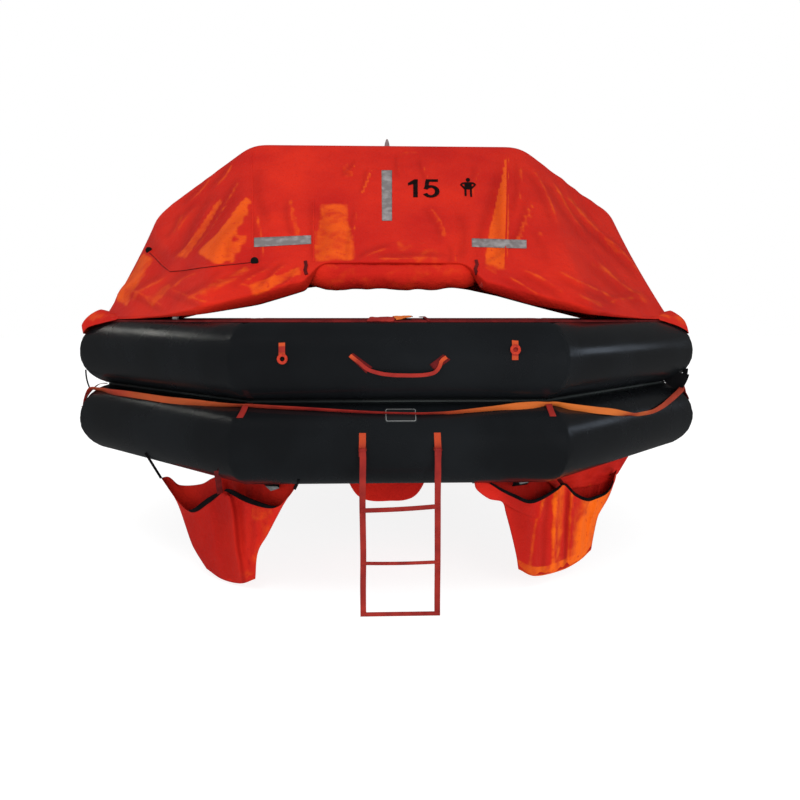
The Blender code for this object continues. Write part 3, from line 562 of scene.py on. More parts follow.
def smooth_curve(points, count, closed=False):
    """A smooth curve through rows of numbers, by cubic segments."""
    points = np.array(points, float)
    size = len(points)
    runs = size if closed else size - 1
    if not closed:
        points = np.concatenate([[2 * points[0] - points[1]], points,
                                 [2 * points[-1] - points[-2]]])
    made = []
    for i in range(count if closed else count + 1):
        at = min(runs * i / count, runs - 1e-9)
        k = int(at)
        t = at - k
        p0, p1, p2, p3 = (points[(k + d - closed) % len(points)] for d in range(4))
        made.append(0.5 * (2 * p1 + (p2 - p0) * t + (2 * p0 - 5 * p1 + 4 * p2 - p3) * t * t
                           + (3 * p1 - p0 - 3 * p2 + p3) * t ** 3))
    return made


def between(corners, down, right):
    """A place between four corners: top left, top right, bottom right and bottom left."""
    a, b, c, d = (np.array(corner, float) for corner in corners)
    return (a * (1 - right) + b * right) * (1 - down) + (d * (1 - right) + c * right) * down


def place_turned(point, turned):
    """The point itself, or the one that it becomes at the raft's rear."""
    return Vector((-point[0], -point[1], point[2])) if turned else Vector(point)

# %% [markdown]
# ## Places on the tubes
# Almost everything on the raft is glued to a tube, so one function finds any place there. A
# place counts the eight sides from the middle of the front one, with the corners at the
# halves, and an angle goes outwards from the crest. Sizes come from the frame.

# %% Places on the tubes
lower_low, lower_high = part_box("lower_tube")
upper_low, upper_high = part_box("upper_tube")
TUBE_RADIUS = (lower_high.z - lower_low.z) / 2
LOWER_Z = (lower_low.z + lower_high.z) / 2
UPPER_Z = (upper_low.z + upper_high.z) / 2
APOTHEM = upper_high.x - TUBE_RADIUS
HALF_SIDE = math.tan(math.pi / 8)
LEFT, RIGHT = -2, 2


def tube_point(place, angle, centre_z, lift=0.0):
    """The point of a tube's skin at a place round the octagon and an angle in degrees."""
    side = math.floor(place + 0.5)
    share = 2.0 * (place - side)
    turn = math.radians(45.0 * side - 90.0)
    lean = math.radians(angle)
    out = APOTHEM + (TUBE_RADIUS + lift) * math.sin(lean)
    along = share * out * HALF_SIDE
    x = math.cos(turn) * out - math.sin(turn) * along
    y = math.sin(turn) * out + math.cos(turn) * along
    return Vector((x, y, centre_z + (TUBE_RADIUS + lift) * math.cos(lean)))


def place_of(along, angle=90.0):
    """How far a distance from a side's middle is, counted in sides."""
    out = APOTHEM + TUBE_RADIUS * math.sin(math.radians(angle))
    return along / (2.0 * out * HALF_SIDE)


def recounted(place):
    """The same place round the octagon, counted from -4 to 4."""
    return (place + 4.0) % 8.0 - 4.0


print("tube radius:", round(TUBE_RADIUS, 4), "apothem:", round(APOTHEM, 4))

# %% [markdown]
# ## The buoyancy tubes
# Each tube is eight lengths of rubber-coated cloth, cut at 22.5 degrees and taped together.
# The shape follows a rule, so Geometry Nodes make it: a flat grid is bent round the octagon by
# a formula. At each corner the tape is raised, the rubber is drawn in along the cut, and small
# puckers lie beside it. A swept curve would be simpler, but it thins at its corners.

# %% A tree that bends a grid into a tube
GRID_SIZE = {"Size X": 8.0, "Size Y": 1.0, "Vertices X": 8 * 40 + 1, "Vertices Y": 97}
# The tree's inputs in metres, with what they are if a modifier doesn't say otherwise.
TREE_INPUTS = {"Apothem": APOTHEM, "Radius": TUBE_RADIUS, "Height": 0.0, "Tape Half Width": 0.016,
               "Tape Height": 0.0012, "Crease Depth": 0.0035, "Pucker Depth": 0.010,
               "Pucker Reach": 0.055, "Seed": 0.0}
CREASE_REACH = 0.010
WELD_REACH = 0.00005


def tube_tree():
    tree = bpy.data.node_groups.new("octagonal tube", "GeometryNodeTree")
    for name, value in TREE_INPUTS.items():
        socket = tree.interface.new_socket(name, in_out="INPUT", socket_type="NodeSocketFloat")
        socket.default_value = value
    tree.interface.new_socket("Material", in_out="INPUT", socket_type="NodeSocketMaterial")
    tree.interface.new_socket("Geometry", in_out="OUTPUT", socket_type="NodeSocketGeometry")
    inputs = add_node(tree, "NodeGroupInput").outputs

    def calc(operation, *values):
        return add_node(tree, "Math", dict(enumerate(values)), operation=operation).outputs[0]

    def near(width):
        ratio = calc("DIVIDE", to_corner, width)
        return calc("EXPONENT", calc("MULTIPLY", calc("MULTIPLY", ratio, ratio), -1.0))

    position = add_node(tree, "GeometryNodeInputPosition").outputs[0]
    apart = add_node(tree, "SeparateXYZ", {0: position}).outputs
    place, around = apart[0], calc("MULTIPLY", apart[1], math.tau)
    side = calc("FLOOR", calc("ADD", place, 0.5))
    even = calc("MULTIPLY", calc("SUBTRACT", place, side), 2.0)
    # More grid columns are drawn towards the corners, where the puckers are.
    share = calc("SINE", calc("MULTIPLY", even, math.pi / 2))
    turn = calc("SUBTRACT", calc("MULTIPLY", side, math.pi / 4), math.pi / 2)
    sine, cosine = calc("SINE", around), calc("COSINE", around)
    flat_out = calc("MULTIPLY_ADD", inputs["Radius"], sine, inputs["Apothem"])
    half = calc("MULTIPLY", flat_out, HALF_SIDE)
    to_corner = calc("MULTIPLY", calc("SUBTRACT", 1.0, calc("ABSOLUTE", share)), half)

    where = {0: calc("MULTIPLY", calc("MULTIPLY", share, half), 16.0),
             1: calc("MULTIPLY", sine, 2.6),
             2: calc("MULTIPLY_ADD", cosine, 2.6, calc("ADD", side, inputs["Seed"]))}
    cloud = noisy(tree, add_node(tree, "CombineXYZ", where).outputs[0], 2.2, 3.0)
    pucker = calc("MULTIPLY", calc("SUBTRACT", cloud, 0.5),
                  calc("MULTIPLY", inputs["Pucker Depth"], near(inputs["Pucker Reach"])))
    crease = calc("MULTIPLY", near(CREASE_REACH), calc("MULTIPLY", inputs["Crease Depth"], -1.0))
    past_tape = {"Value": calc("DIVIDE", to_corner, inputs["Tape Half Width"]),
                 "From Min": 0.93, "From Max": 1.07, "To Min": 1.0, "To Max": 0.0}
    tape = add_node(tree, "MapRange", past_tape, interpolation_type="SMOOTHSTEP")
    raised = calc("MULTIPLY", tape.outputs["Result"], inputs["Tape Height"])
    radius = calc("ADD", calc("ADD", inputs["Radius"], raised), calc("ADD", pucker, crease))

    out = calc("MULTIPLY_ADD", radius, sine, inputs["Apothem"])
    along = calc("MULTIPLY", calc("MULTIPLY", out, HALF_SIDE), share)
    turn_sine, turn_cosine = calc("SINE", turn), calc("COSINE", turn)
    bent = {0: calc("SUBTRACT", calc("MULTIPLY", turn_cosine, out),
                    calc("MULTIPLY", turn_sine, along)),
            1: calc("ADD", calc("MULTIPLY", turn_sine, out),
                    calc("MULTIPLY", turn_cosine, along)),
            2: calc("MULTIPLY_ADD", radius, cosine, inputs["Height"])}
    bent = add_node(tree, "CombineXYZ", bent).outputs[0]
    shape = add_node(tree, "GeometryNodeMeshGrid", GRID_SIZE).outputs["Mesh"]
    for step, sockets in (("SetPosition", {"Position": bent}),
                          ("MergeByDistance", {"Distance": WELD_REACH}),
                          ("SetShadeSmooth", {}), ("RealizeInstances", {}),
                          ("SetMaterial", {"Material": inputs["Material"]})):
        sockets["Geometry"] = shape
        shape = add_node(tree, "GeometryNode" + step, sockets).outputs[0]
    add_node(tree, "NodeGroupOutput", {0: shape})
    return tree


def grown(name, tree, values):
    """Runs a Geometry Nodes tree with named values and returns its result as a plain mesh."""
    holder = bpy.data.objects.new(name + "_start", bpy.data.meshes.new(name + "_start"))
    scene.collection.objects.link(holder)
    modifier = holder.modifiers.new("nodes", "NODES")
    modifier.node_group = tree
    sockets = {s.name: s.identifier for s in tree.interface.items_tree if s.in_out == "INPUT"}
    for socket, value in values.items():
        modifier[sockets[socket]] = value
    evaluated = holder.evaluated_get(bpy.context.evaluated_depsgraph_get())
    mesh = bpy.data.meshes.new_from_object(evaluated)
    mesh.name = name
    bpy.data.objects.remove(holder)
    return mesh

# %% The two tubes
TUBE_TREE = tube_tree()
for name, height, seed in (("lower_tube", LOWER_Z, 0.0), ("upper_tube", UPPER_Z, 31.0)):
    values = {"Height": height, "Seed": seed, "Material": TUBE_BLACK}
    mesh = mended(grown(name + "_rubber", TUBE_TREE, values))
    make_piece(name + "_rubber", mesh, TUBE_BLACK, "tube_rubber", replaced=[name], crease=0)

# %% [markdown]
# ## The seam between the tubes
# Where the tubes touch, a strip of rubber is glued over the joint. Its grey is lighter than the
# tubes', partly its own tone and partly painted highlight, so it shows as a thin pale line all
# round. A thin strip is swept along the octagon just outside the touching line, bent inwards
# like a fillet.

# %% The seam between the tubes
SEAM_ANGLE = 13.0
SEAM_STEPS = 6
SEAM_PER_SIDE = 24
SEAM_DEPTH = 0.006
SEAM_LIFT = 0.0006


def seam_point(down, along):
    """A place of the strip, from the upper tube down to the lower one, and round the raft."""
    inward = 1 - (2.0 * down - 1.0) ** 2
    angle = SEAM_ANGLE * (1.0 + 0.15 * inward)
    below = tube_point(8.0 * along - 4.0, angle, LOWER_Z, SEAM_LIFT)
    above = tube_point(8.0 * along - 4.0, 180.0 - angle, UPPER_Z, SEAM_LIFT)
    point = above.lerp(below, down)
    return point - Vector((point.x, point.y, 0.0)).normalized() * SEAM_DEPTH * inward


rows = grid_rows(SEAM_STEPS, 8 * SEAM_PER_SIDE, seam_point, closed=True)
seam = sheet_mesh("joint_seam", rows, closed=True)
thicken(make_piece("joint_seam", seam, SEAM_GREY_AND_HIGHLIGHT, "tube_rubber"), 0.0016)

# %% [markdown]
# ## The floor
# The floor is a flat sheet of the same rubber cloth. Its solid already has the right shape, so
# it only gets the rubber's material.

# %% The floor
nodes["floor"].data.materials.clear()
nodes["floor"].data.materials.append(FLOOR_BLACK)

# %% [markdown]
# ## The arch
# A third tube stands across the raft and holds the canopy up. It bends at four places. Its
# route is five straight runs, and a running mean rounds the route, which gives soft bends like
# those of a blown-up tube.

# %% The arch
arch_low, arch_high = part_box("arch_tube")
ARCH_RADIUS = (arch_high.y - arch_low.y) / 2
ARCH_TOP = arch_high.z - ARCH_RADIUS
# Foot, lower bend and upper bend of the right half: metres from the middle, and height.
HALF_ARCH = [(APOTHEM, UPPER_Z + TUBE_RADIUS), (1.32, 1.21), (0.80, ARCH_TOP)]
ARCH_ROUTE = np.array([(-x, z) for x, z in HALF_ARCH] + HALF_ARCH[::-1])
RUN_LENGTHS = np.linalg.norm(np.diff(ARCH_ROUTE, axis=0), axis=1)
RUN_ENDS = np.concatenate([[0.0], np.cumsum(RUN_LENGTHS)])
BEND_SPREAD = 0.030
SLOPE_STEP = 0.002
ARCH_SIDES = 48


def arch_line(stations):
    """Points and outward directions of the arch's axis; a station counts its five runs."""
    lengths = np.interp(stations, np.arange(6), RUN_ENDS)
    offsets = np.linspace(-2.5, 2.5, 41)
    weights = np.exp(-0.5 * offsets ** 2)
    weights /= weights.sum()
    line, ahead = np.zeros((2, len(lengths), 2))
    for offset, weight in zip(offsets, weights):
        at = lengths + offset * BEND_SPREAD
        for axis in (0, 1):
            route = ARCH_ROUTE[:, axis]
            steps = np.diff(route) / RUN_LENGTHS
            point = np.interp(at, RUN_ENDS, route) + np.minimum(at, 0.0) * steps[0]
            point += np.maximum(at - RUN_ENDS[-1], 0.0) * steps[-1]
            line[:, axis] += weight * point
            ahead[:, axis] += weight * (np.interp(at + SLOPE_STEP, RUN_ENDS, route)
                                        - np.interp(at - SLOPE_STEP, RUN_ENDS, route))
    ahead /= np.linalg.norm(ahead, axis=1, keepdims=True)
    return line, np.stack([-ahead[:, 1], ahead[:, 0]], axis=1)


line, out = arch_line(np.clip(np.linspace(-0.12, 5.12, 150), 0.02, 4.98))
ring = [(ARCH_RADIUS * math.cos(math.tau * share), ARCH_RADIUS * math.sin(math.tau * share))
        for share in even_shares(ARCH_SIDES)[:-1]]
rows = [[(x + out_x * side, depth, z + out_z * side) for side, depth in ring]
        for (x, z), (out_x, out_z) in zip(line, out)]
make_piece("arch_rubber", closed_mesh("arch_rubber", rows), TUBE_BLACK, "tube_rubber",
           replaced=["arch_tube"], crease=50)

# %% [markdown]
# ## The canopy
# The canopy is one sheet of coated nylon that goes over the arch and down to the tubes, front
# and rear. It is glued to the tubes at the sides, and over each entrance its hem is lifted and
# turned under. Flat panels would look like a tin roof, so each of some hundreds of columns goes
# round the arch to its own place on the hem, and the folds are pushed in afterwards.

# %% The canopy's hem
RIM_ANGLE = 22.2
RIM_LIFT = 0.0062
CANOPY_RADIUS = ARCH_RADIUS + 0.026


def rim_point(place, more=0.0):
    return tuple(tube_point(place, RIM_ANGLE, UPPER_Z, RIM_LIFT + more))


# Arch station, hem point and how far the hem is turned under, from the left foot inwards.
GLUED_HEM = [
    (0.12, rim_point(LEFT + place_of(0.108, RIM_ANGLE)), 0.0),
    (0.55, rim_point(LEFT + place_of(0.37, RIM_ANGLE)), 0.0),
    (1.00, rim_point(-1.50), 0.0),
]
FRONT_HEM = GLUED_HEM + [
    (1.30, rim_point(-1.22, 0.004), 0.05),
    (1.62, rim_point(-0.95, 0.014), 0.25),
    (1.85, rim_point(-0.74, 0.026), 0.60),
    (2.00, (-0.64, -1.20, 0.700), 1.0),
    (2.10, (-0.52, -1.165, 0.738), 1.0),
    (2.18, (-0.412, -1.125, 0.774), 0.90),
    (2.205, (-0.385, -1.045, 0.862), 0.40),
    (2.24, (-0.340, -1.004, 0.903), 0.20),
    (2.50, (0.0, -1.002, 0.905), 0.20),
]
REAR_HEM = GLUED_HEM + [
    (1.06, rim_point(-1.43), 0.15),
    (1.30, (-1.15, -0.93, 0.735), 0.5),
    (1.62, (-0.90, -1.08, 0.815), 0.6),
    (2.00, (-0.68, -1.16, 0.868), 0.6),
    (2.18, (-0.412, -1.10, 0.900), 0.6),
    (2.205, (-0.385, -1.015, 0.962), 0.40),
    (2.24, (-0.340, -0.970, 0.998), 0.20),
    (2.50, (0.0, -0.966, 1.000), 0.20),
]
LIP_OUT = 0.028
LIP_UP = 0.050
LIP_BACK = 0.016
RETURN_UP = 0.045
SMOOTHING = np.array([1.0, 2.0, 3.0, 2.0, 1.0]) / 9.0


def hem_lines(controls, stations, sign):
    """The turned lip's upper and lower edge, its end inside, and its turn, for every station."""
    from_foot = np.minimum(stations, 5.0 - stations)
    keys, spots, turns = zip(*controls)
    edge = np.stack([np.interp(from_foot, keys, values) for values in zip(*spots)], axis=1)
    turned = np.interp(from_foot, keys, turns)[:, None]
    edge[:, 0] *= np.where(stations > 2.5, -1.0, 1.0)
    for k in range(3):
        edge[:, k] = np.convolve(np.pad(edge[:, k], 2, mode="edge"), SMOOTHING, mode="valid")
    outward = edge.copy()
    outward[:, 0] *= 0.35
    outward[:, 2] = 0.0
    outward /= np.linalg.norm(outward, axis=1, keepdims=True)
    up = np.array(ZED)
    lip = edge + turned * (outward * LIP_OUT + up * LIP_UP)
    low = edge - turned * outward * LIP_BACK
    back = low - outward * (0.004 + 0.012 * turned) + up * (0.012 + RETURN_UP * turned)
    for array in (lip, low, back):
        array[:, 1] *= sign
    return lip, low, back, turned[:, 0]


# %% [markdown]
# ### Folds
# The folds are what makes the sheet look like cloth. A cloth simulation makes folds too, but
# not where the real ones are. Here each fold is a soft ridge along a line of the picture, with
# a shallow valley beside it. The lines wander a little, and a fine crumple goes over
# everything. Lit cloth turns orange, so the folds also paint light into the colour: painted
# orange light on their ridges and in patches, and painted shadow beside them.

# %% The folds seen in the picture
# Start column and row, end column and row, width in pixels, height in millimetres.
FOLDS = [
    (251, 184, 204, 264, 8.0, 15), (252, 214, 217, 266, 4.5, 9), (223, 196, 180, 260, 4.5, 9),
    (244, 176, 190, 256, 2.6, 5), (211, 176, 188, 208, 2.6, 4), (200, 202, 176, 236, 2.6, 4),
    (158, 222, 172, 262, 6.0, 6), (238, 156, 214, 190, 2.6, 4), (196, 234, 176, 262, 2.6, 4),
    (240, 236, 228, 262, 2.4, 4), (186, 214, 168, 240, 2.2, 3), (152, 254, 118, 302, 9.0, 14),
    (168, 274, 130, 306, 3.5, 6), (202, 272, 158, 300, 4.0, 6), (230, 274, 176, 304, 3.4, 5),
    (252, 267, 206, 297, 3.4, 7), (270, 267, 236, 292, 2.6, 6), (288, 266, 258, 290, 2.6, 6),
    (301, 268, 282, 288, 2.4, 6), (160, 290, 214, 303, 3.0, 4), (290, 198, 298, 238, 3.0, 5),
    (314, 198, 313, 264, 1.6, 4), (332, 204, 337, 262, 9.0, 6), (356, 206, 352, 262, 2.4, 4),
    (343, 166, 354, 174, 1.8, 3), (371, 171, 362, 194, 2.0, 3), (357, 160, 345, 179, 1.8, 3),
    (398, 154, 402, 178, 2.0, 3), (423, 156, 427, 182, 2.0, 3), (429, 204, 446, 238, 3.0, 5),
    (452, 244, 458, 263, 3.0, 4), (392, 247, 358, 262, 2.6, 4), (448, 262, 372, 257, 3.0, 5),
    (468, 210, 470, 262, 5.0, 7), (500, 170, 484, 262, 4.0, -9), (508, 154, 506, 268, 4.0, 12),
    (524, 158, 515, 216, 2.6, 6), (529, 166, 560, 224, 3.0, 6), (545, 176, 592, 240, 3.0, 7),
    (563, 192, 622, 258, 3.0, 8), (534, 198, 513, 250, 2.6, 7), (512, 244, 488, 268, 2.0, 6),
    (588, 258, 648, 301, 4.0, 8), (556, 268, 622, 306, 3.0, 6), (520, 268, 568, 298, 3.0, 6),
    (500, 276, 545, 296, 2.6, 5), (575, 295, 602, 307, 2.0, 5), (610, 236, 640, 280, 3.0, 6),
    (536, 228, 552, 262, 3.0, 4), (478, 166, 474, 200, 3.0, 3), (270, 166, 274, 226, 6.0, 4),
    (257, 206, 262, 262, 3.0, 5), (126, 292, 168, 306, 3.0, 5), (640, 296, 606, 306, 3.0, 5),
]
# Streaks of painted light: start column, row and half width, end column, row and half width,
# and strength.
PAINTED_LIGHT_STREAKS = [
    (250, 200, 3, 210, 262, 15, 0.85), (246, 236, 3, 226, 262, 8, 0.7),
    (222, 198, 2, 182, 260, 4, 0.6), (334, 203, 16, 334, 262, 21, 0.62),
    (507, 156, 1, 495, 268, 13, 1.0), (532, 204, 2, 514, 250, 4, 0.55),
    (150, 256, 7, 118, 302, 12, 0.62), (172, 286, 4, 148, 304, 6, 0.5),
    (301, 270, 4, 250, 292, 7, 0.55), (246, 268, 3, 200, 296, 5, 0.45),
    (344, 164, 4, 350, 178, 5, 0.4), (372, 170, 1, 362, 194, 2, 0.6),
    (290, 200, 2, 298, 238, 4, 0.35), (398, 258, 18, 440, 252, 14, 0.3),
    (564, 192, 1, 620, 256, 2, 0.36), (590, 262, 3, 650, 302, 4, 0.3),
    (576, 294, 2, 604, 307, 3, 0.45), (398, 156, 6, 430, 160, 6, 0.2),
    (430, 204, 2, 446, 238, 3, 0.3), (484, 262, 4, 500, 268, 12, 0.4),
]


def along_line(column, row, start, end):
    """How far along a line of the picture each place is, and how far beside it."""
    start, end = np.array(start, float), np.array(end, float)
    run = end - start
    length = np.linalg.norm(run)
    run /= length
    share = ((column - start[0]) * run[0] + (row - start[1]) * run[1]) / length
    beside = (column - start[0]) * -run[1] + (row - start[1]) * run[0]
    return share, beside


def fold_heights(column, row):
    """Heights in metres of all folds together, their thin ridges of painted light and their painted
    shadows.
    """
    total, lit, dark = np.zeros((3, *column.shape))
    for number, (x0, y0, x1, y1, width, height) in enumerate(FOLDS):
        share, beside = along_line(column, row, (x0, y0), (x1, y1))
        beside = beside + width * 0.7 * np.sin(share * 4.1 + number * 1.7)
        ends = smooth_step(share, -0.12, 0.25) * smooth_step(-share, -1.15, -0.75)
        ridge = np.exp(-np.abs(beside / width) ** 1.5)
        valley = bell(beside - 2.1 * width, 1.3 * width)
        total += 1.35 * height * 0.001 * ends * (ridge - 0.45 * valley)
        if height > 0 and width < 4.1:
            lit = np.maximum(lit, 0.50 * ends * bell(beside, 0.55 * width))
        dark = np.maximum(dark, 0.28 * ends * bell(beside - 1.7 * width, width))
    return total, lit, dark


def painted_light_of(column, row):
    """How much painted light turns the cloth orange at each place of the picture, from 0 to 1."""
    total = np.zeros_like(column)
    for number, (x0, y0, w0, x1, y1, w1, strength) in enumerate(PAINTED_LIGHT_STREAKS):
        share, beside = along_line(column, row, (x0, y0), (x1, y1))
        width = w0 + (w1 - w0) * np.clip(share, 0.0, 1.0)
        ragged = 1.0 + 0.10 * np.sin(share * 7.0 + number)
        inside = smooth_step(-np.abs(beside) / (width * ragged), -1.15, -0.75)
        ends = smooth_step(share, -0.04, 0.06) * smooth_step(-share, -1.04, -0.94)
        total = np.maximum(total, strength * inside * ends)
    return total


# %% The sheet
COLUMNS = 290
WRAP_ROWS = 8
PANEL_ROWS = {"front": 86, "rear": 44}
LIP_ROWS = 8
RETURN_ROWS = 4
SAG = 0.012
RIGHT_FOOT_BULGE = 0.055
lengths = np.linspace(0.12 * RUN_LENGTHS[0], RUN_ENDS[-1] - 0.12 * RUN_LENGTHS[0], COLUMNS)
STATIONS = np.interp(lengths, RUN_ENDS, np.arange(6))


def half_sheet(side, controls, sign):
    """Rows of points of one half, from the top of the arch to the end of its turned hem."""
    line, out = arch_line(STATIONS)
    lip, low, back, turned = hem_lines(controls, STATIONS, sign)
    axis = np.stack([line[:, 0], np.zeros(COLUMNS), line[:, 1]], axis=1)
    normal = np.stack([out[:, 0], np.zeros(COLUMNS), out[:, 1]], axis=1)
    outward = np.array([0.0, -sign, 0.0])
    up_part = np.sum((lip - axis) * normal, axis=1)
    out_part = (lip - axis) @ outward
    # The cloth stands further out at the right foot, and small ripples make the slopes uneven.
    bulge = bell(STATIONS - 4.65, 0.50) * RIGHT_FOOT_BULGE
    slack = smooth_step(np.abs(STATIONS - STATIONS[-1] / 2), 0.7, 1.0)
    ripple = np.array([wobble(station, 0.5, 7.0, 8.0) for station in STATIONS])
    radius = CANOPY_RADIUS + bulge + 0.008 * slack * ripple
    distance = np.hypot(up_part, out_part)
    full = np.arctan2(out_part, up_part) - np.arccos(np.clip(radius / distance, 0, 1))

    def off_axis(share):
        angle = (full * share)[:, None]
        return np.cos(angle) * normal + np.sin(angle) * outward

    rows = [axis + radius[:, None] * off_axis(i / WRAP_ROWS) for i in range(WRAP_ROWS)]
    start = axis + radius[:, None] * off_axis(1)
    length = np.linalg.norm(lip - start, axis=1)[:, None]
    for i in range(PANEL_ROWS[side]):
        share = i / PANEL_ROWS[side]
        share = share + 0.10 * share * (1 - share)
        drop = SAG * length * 4 * share * (1 - share)
        rows.append(start + (lip - start) * share - off_axis(1) * drop)
    for i in range(LIP_ROWS):
        share = i / LIP_ROWS
        puff = 0.010 * math.sin(math.pi * share) * turned[:, None]
        rows.append(lip + (low - lip) * share + puff * outward)
    rows += [low + (back - low) * share for share in even_shares(RETURN_ROWS)]
    return np.array(rows)


def surface_normals(rows):
    """Outward unit normals of rows of points, where rows go down and columns right."""
    normal = np.cross(np.gradient(rows, axis=0), np.gradient(rows, axis=1))
    return normal / np.maximum(np.linalg.norm(normal, axis=2, keepdims=True), 1e-9)


front_rows = half_sheet("front", FRONT_HEM, 1.0)
rear_rows = half_sheet("rear", REAR_HEM, -1.0)
print("canopy rows:", front_rows.shape, rear_rows.shape)

# %% Folds in the sheet
CRUMPLE = 0.0016


def crumple_field(rows, seed):
    """A fine, slightly directed crumple of the cloth at each point."""
    field = []
    for x, y, z in rows.reshape(-1, 3):
        broad = noise.noise(Vector((x * 9 + seed, y * 5, z * 5)))
        fine = noise.noise(Vector((x * 21 + seed, y * 15, z * 13 + 4.0)))
        field.append(broad + 0.55 * (1.0 - 2.0 * abs(fine)))
    return np.reshape(field, rows.shape[:2])


def folded(rows, side, sign):
    """Pushes folds into one half, and returns it with its painted light and its painted shadow."""
    panel_end = WRAP_ROWS + PANEL_ROWS[side]
    seen = rows * np.array([sign, sign, 1.0])
    column, row = picture_place(seen)
    height, lit, dark = fold_heights(column, row)
    painted_light = np.maximum(painted_light_of(column, row), lit)
    index = np.arange(rows.shape[0])[:, None]
    fade = smooth_step(index, 2, WRAP_ROWS + 4) * smooth_step(-index, -panel_end - 5,
                                                              -panel_end + 1)
    from_foot = np.minimum(STATIONS, 5.0 - STATIONS)[None, :]
    held = smooth_step(-np.abs(index - panel_end), -8, 0) * smooth_step(-from_foot, -1.75, -1.4)
    field = crumple_field(seen, 0.0 if sign > 0 else 17.0)
    shift = fade * (1.0 - 0.9 * held) * (height + CRUMPLE * field)
    number = np.arange(COLUMNS)
    ends = smooth_step(np.minimum(number, COLUMNS - 1 - number), 0, 5)
    shift *= 0.25 + 0.75 * ends[None, :]
    # Where the sheet is seen edge-on, a fold of the picture has no place, so it fades out.
    view = seen - np.array(EYE)
    view /= np.linalg.norm(view, axis=2, keepdims=True)
    facing = np.abs(np.sum(view * surface_normals(seen), axis=2))
    shift *= smooth_step(facing, 0.05, 0.30)
    painted_light *= smooth_step(facing, 0.0, 0.25) * np.clip(fade + 0.2, 0, 1)
    # The lip is turned under, so it lies in its own shade.
    turned_under = smooth_step(index, panel_end, panel_end + 3) * np.ones_like(painted_light)
    moved = rows + surface_normals(rows) * sign * shift[..., None]
    return moved, painted_light, np.maximum(dark * fade, 0.15 * turned_under)


front_half = folded(front_rows, "front", 1.0)
rear_half = folded(rear_rows, "rear", -1.0)
points, painted_light, dark = (np.concatenate([rear[::-1], front[1:]])
                      for rear, front in zip(rear_half, front_half))
canopy_mesh = sheet_mesh("canopy_cloth", points)
paint(canopy_mesh, "painted_light", painted_light)
paint(canopy_mesh, "shadow", dark)
canopy = make_piece("canopy_cloth", canopy_mesh, CANOPY_RED, "canopy_fabric",
                    replaced=["canopy_front", "canopy_rear"], crease=0)
thicken(canopy, 0.0012)
print("cloth area in square metres:", round(area_of(canopy_mesh), 3))

# %% [markdown]
# ## Finding the canopy's surface
# Tapes, numerals, buttons and seams lie on the folded cloth. A tree of its faces answers where
# a line of sight meets it, so every small thing can be draped on it. Places are given as
# columns and rows of the picture, which is the drawing that they were measured on.

# %% Finding the canopy's surface
canopy_tree = BVHTree.FromPolygons([v.co.copy() for v in canopy_mesh.vertices],
                                   [tuple(p.vertices) for p in canopy_mesh.polygons])


def on_canopy(column, row, lift=0.0015):
    """The canopy's point that shows at a column and row of the picture, and its normal."""
    ray = line_of_sight(column, row)
    point, normal, _, _ = canopy_tree.ray_cast(EYE, ray)
    if point is None:
        raise ValueError(f"the canopy doesn't show at {column}, {row}")
    if normal.dot(ray) > 0:
        normal = -normal
    return point + normal * lift, normal


def draped_line(places, spacing, lift):
    """Points on the canopy along a bent line, and the surface's normals there."""
    found = []
    for (x0, y0), (x1, y1) in zip(places, places[1:]):
        count = max(2, int(math.hypot(x1 - x0, y1 - y0) / spacing))
        found += [on_canopy(x0 + (x1 - x0) * i / count, y0 + (y1 - y0) * i / count, lift)
                  for i in range(count)]
    found.append(on_canopy(*places[-1], lift))
    return [point for point, _ in found], [normal for _, normal in found]


print("faces that a line of sight can meet:", len(canopy_mesh.polygons))

# %% [markdown]
# ## Tapes, numerals and the standing figure
# Three strips of grey tape are glued on the canopy, and the number of persons is printed
# beside a plain standing figure. Tape is a draped grid. Numerals could be a text object, but a
# bold 1 and 5 are soon drawn as outlines, cut fine and laid on the cloth point by point.

# %% Reflective tapes
# Corners in the picture, and the numbers of quads across and down.
TAPES = {
    "tape_middle": ([(381.5, 170.5), (392.0, 170.5), (392.0, 221.0), (382.0, 221.0)], 6, 36),
    "tape_left": ([(254.0, 238.0), (311.0, 235.6), (311.0, 244.2), (254.0, 247.4)], 36, 6),
    "tape_right": ([(472.0, 238.6), (526.5, 240.2), (526.5, 248.8), (472.0, 247.2)], 36, 6),
}
TAPE_LIFT = 0.0022
for name, (corners, across, down) in TAPES.items():
    rows = grid_rows(down, across, lambda *shares: on_canopy(*between(corners, *shares),
                                                             TAPE_LIFT)[0])
    thicken(make_piece(name, sheet_mesh(name, rows), TAPE_GREY), 0.0006)

# %% Numerals and figure
PRINT_LIFT = 0.0026
# Left and right column, top and bottom row.
NUMERALS_BOX = (407.0, 439.5, 179.6, 197.6)
FIGURE_BOX = (459.5, 476.2, 178.4, 197.4)


def draped_shape(name, outlines, box):
    """Lays flat outlines, given in their own unit square, in a box of the picture."""
    left, right, top, bottom = box
    cut = bmesh.new()
    for outline in outlines:
        cut.faces.new([cut.verts.new((x, y, 0.0)) for x, y in outline])
    cut.normal_update()
    bmesh.ops.triangulate(cut, faces=cut.faces)
    for _ in range(4):
        long_edges = [e for e in cut.edges if e.calc_length() > 0.08]
        if not long_edges:
            break
        bmesh.ops.subdivide_edges(cut, edges=long_edges, cuts=1)
        bmesh.ops.triangulate(cut, faces=cut.faces)
    for vertex in cut.verts:
        column = left + vertex.co.x * (right - left)
        row = bottom + vertex.co.y * (top - bottom)
        vertex.co = on_canopy(column, row, PRINT_LIFT)[0]
    cut.loops.layers.uv.new("flat")
    bmesh.ops.recalc_face_normals(cut, faces=cut.faces)
    for face in cut.faces:
        if face.normal.y > 0:
            face.normal_flip()
    made = bpy.data.meshes.new(name)
    cut.to_mesh(made)
    cut.free()
    return made


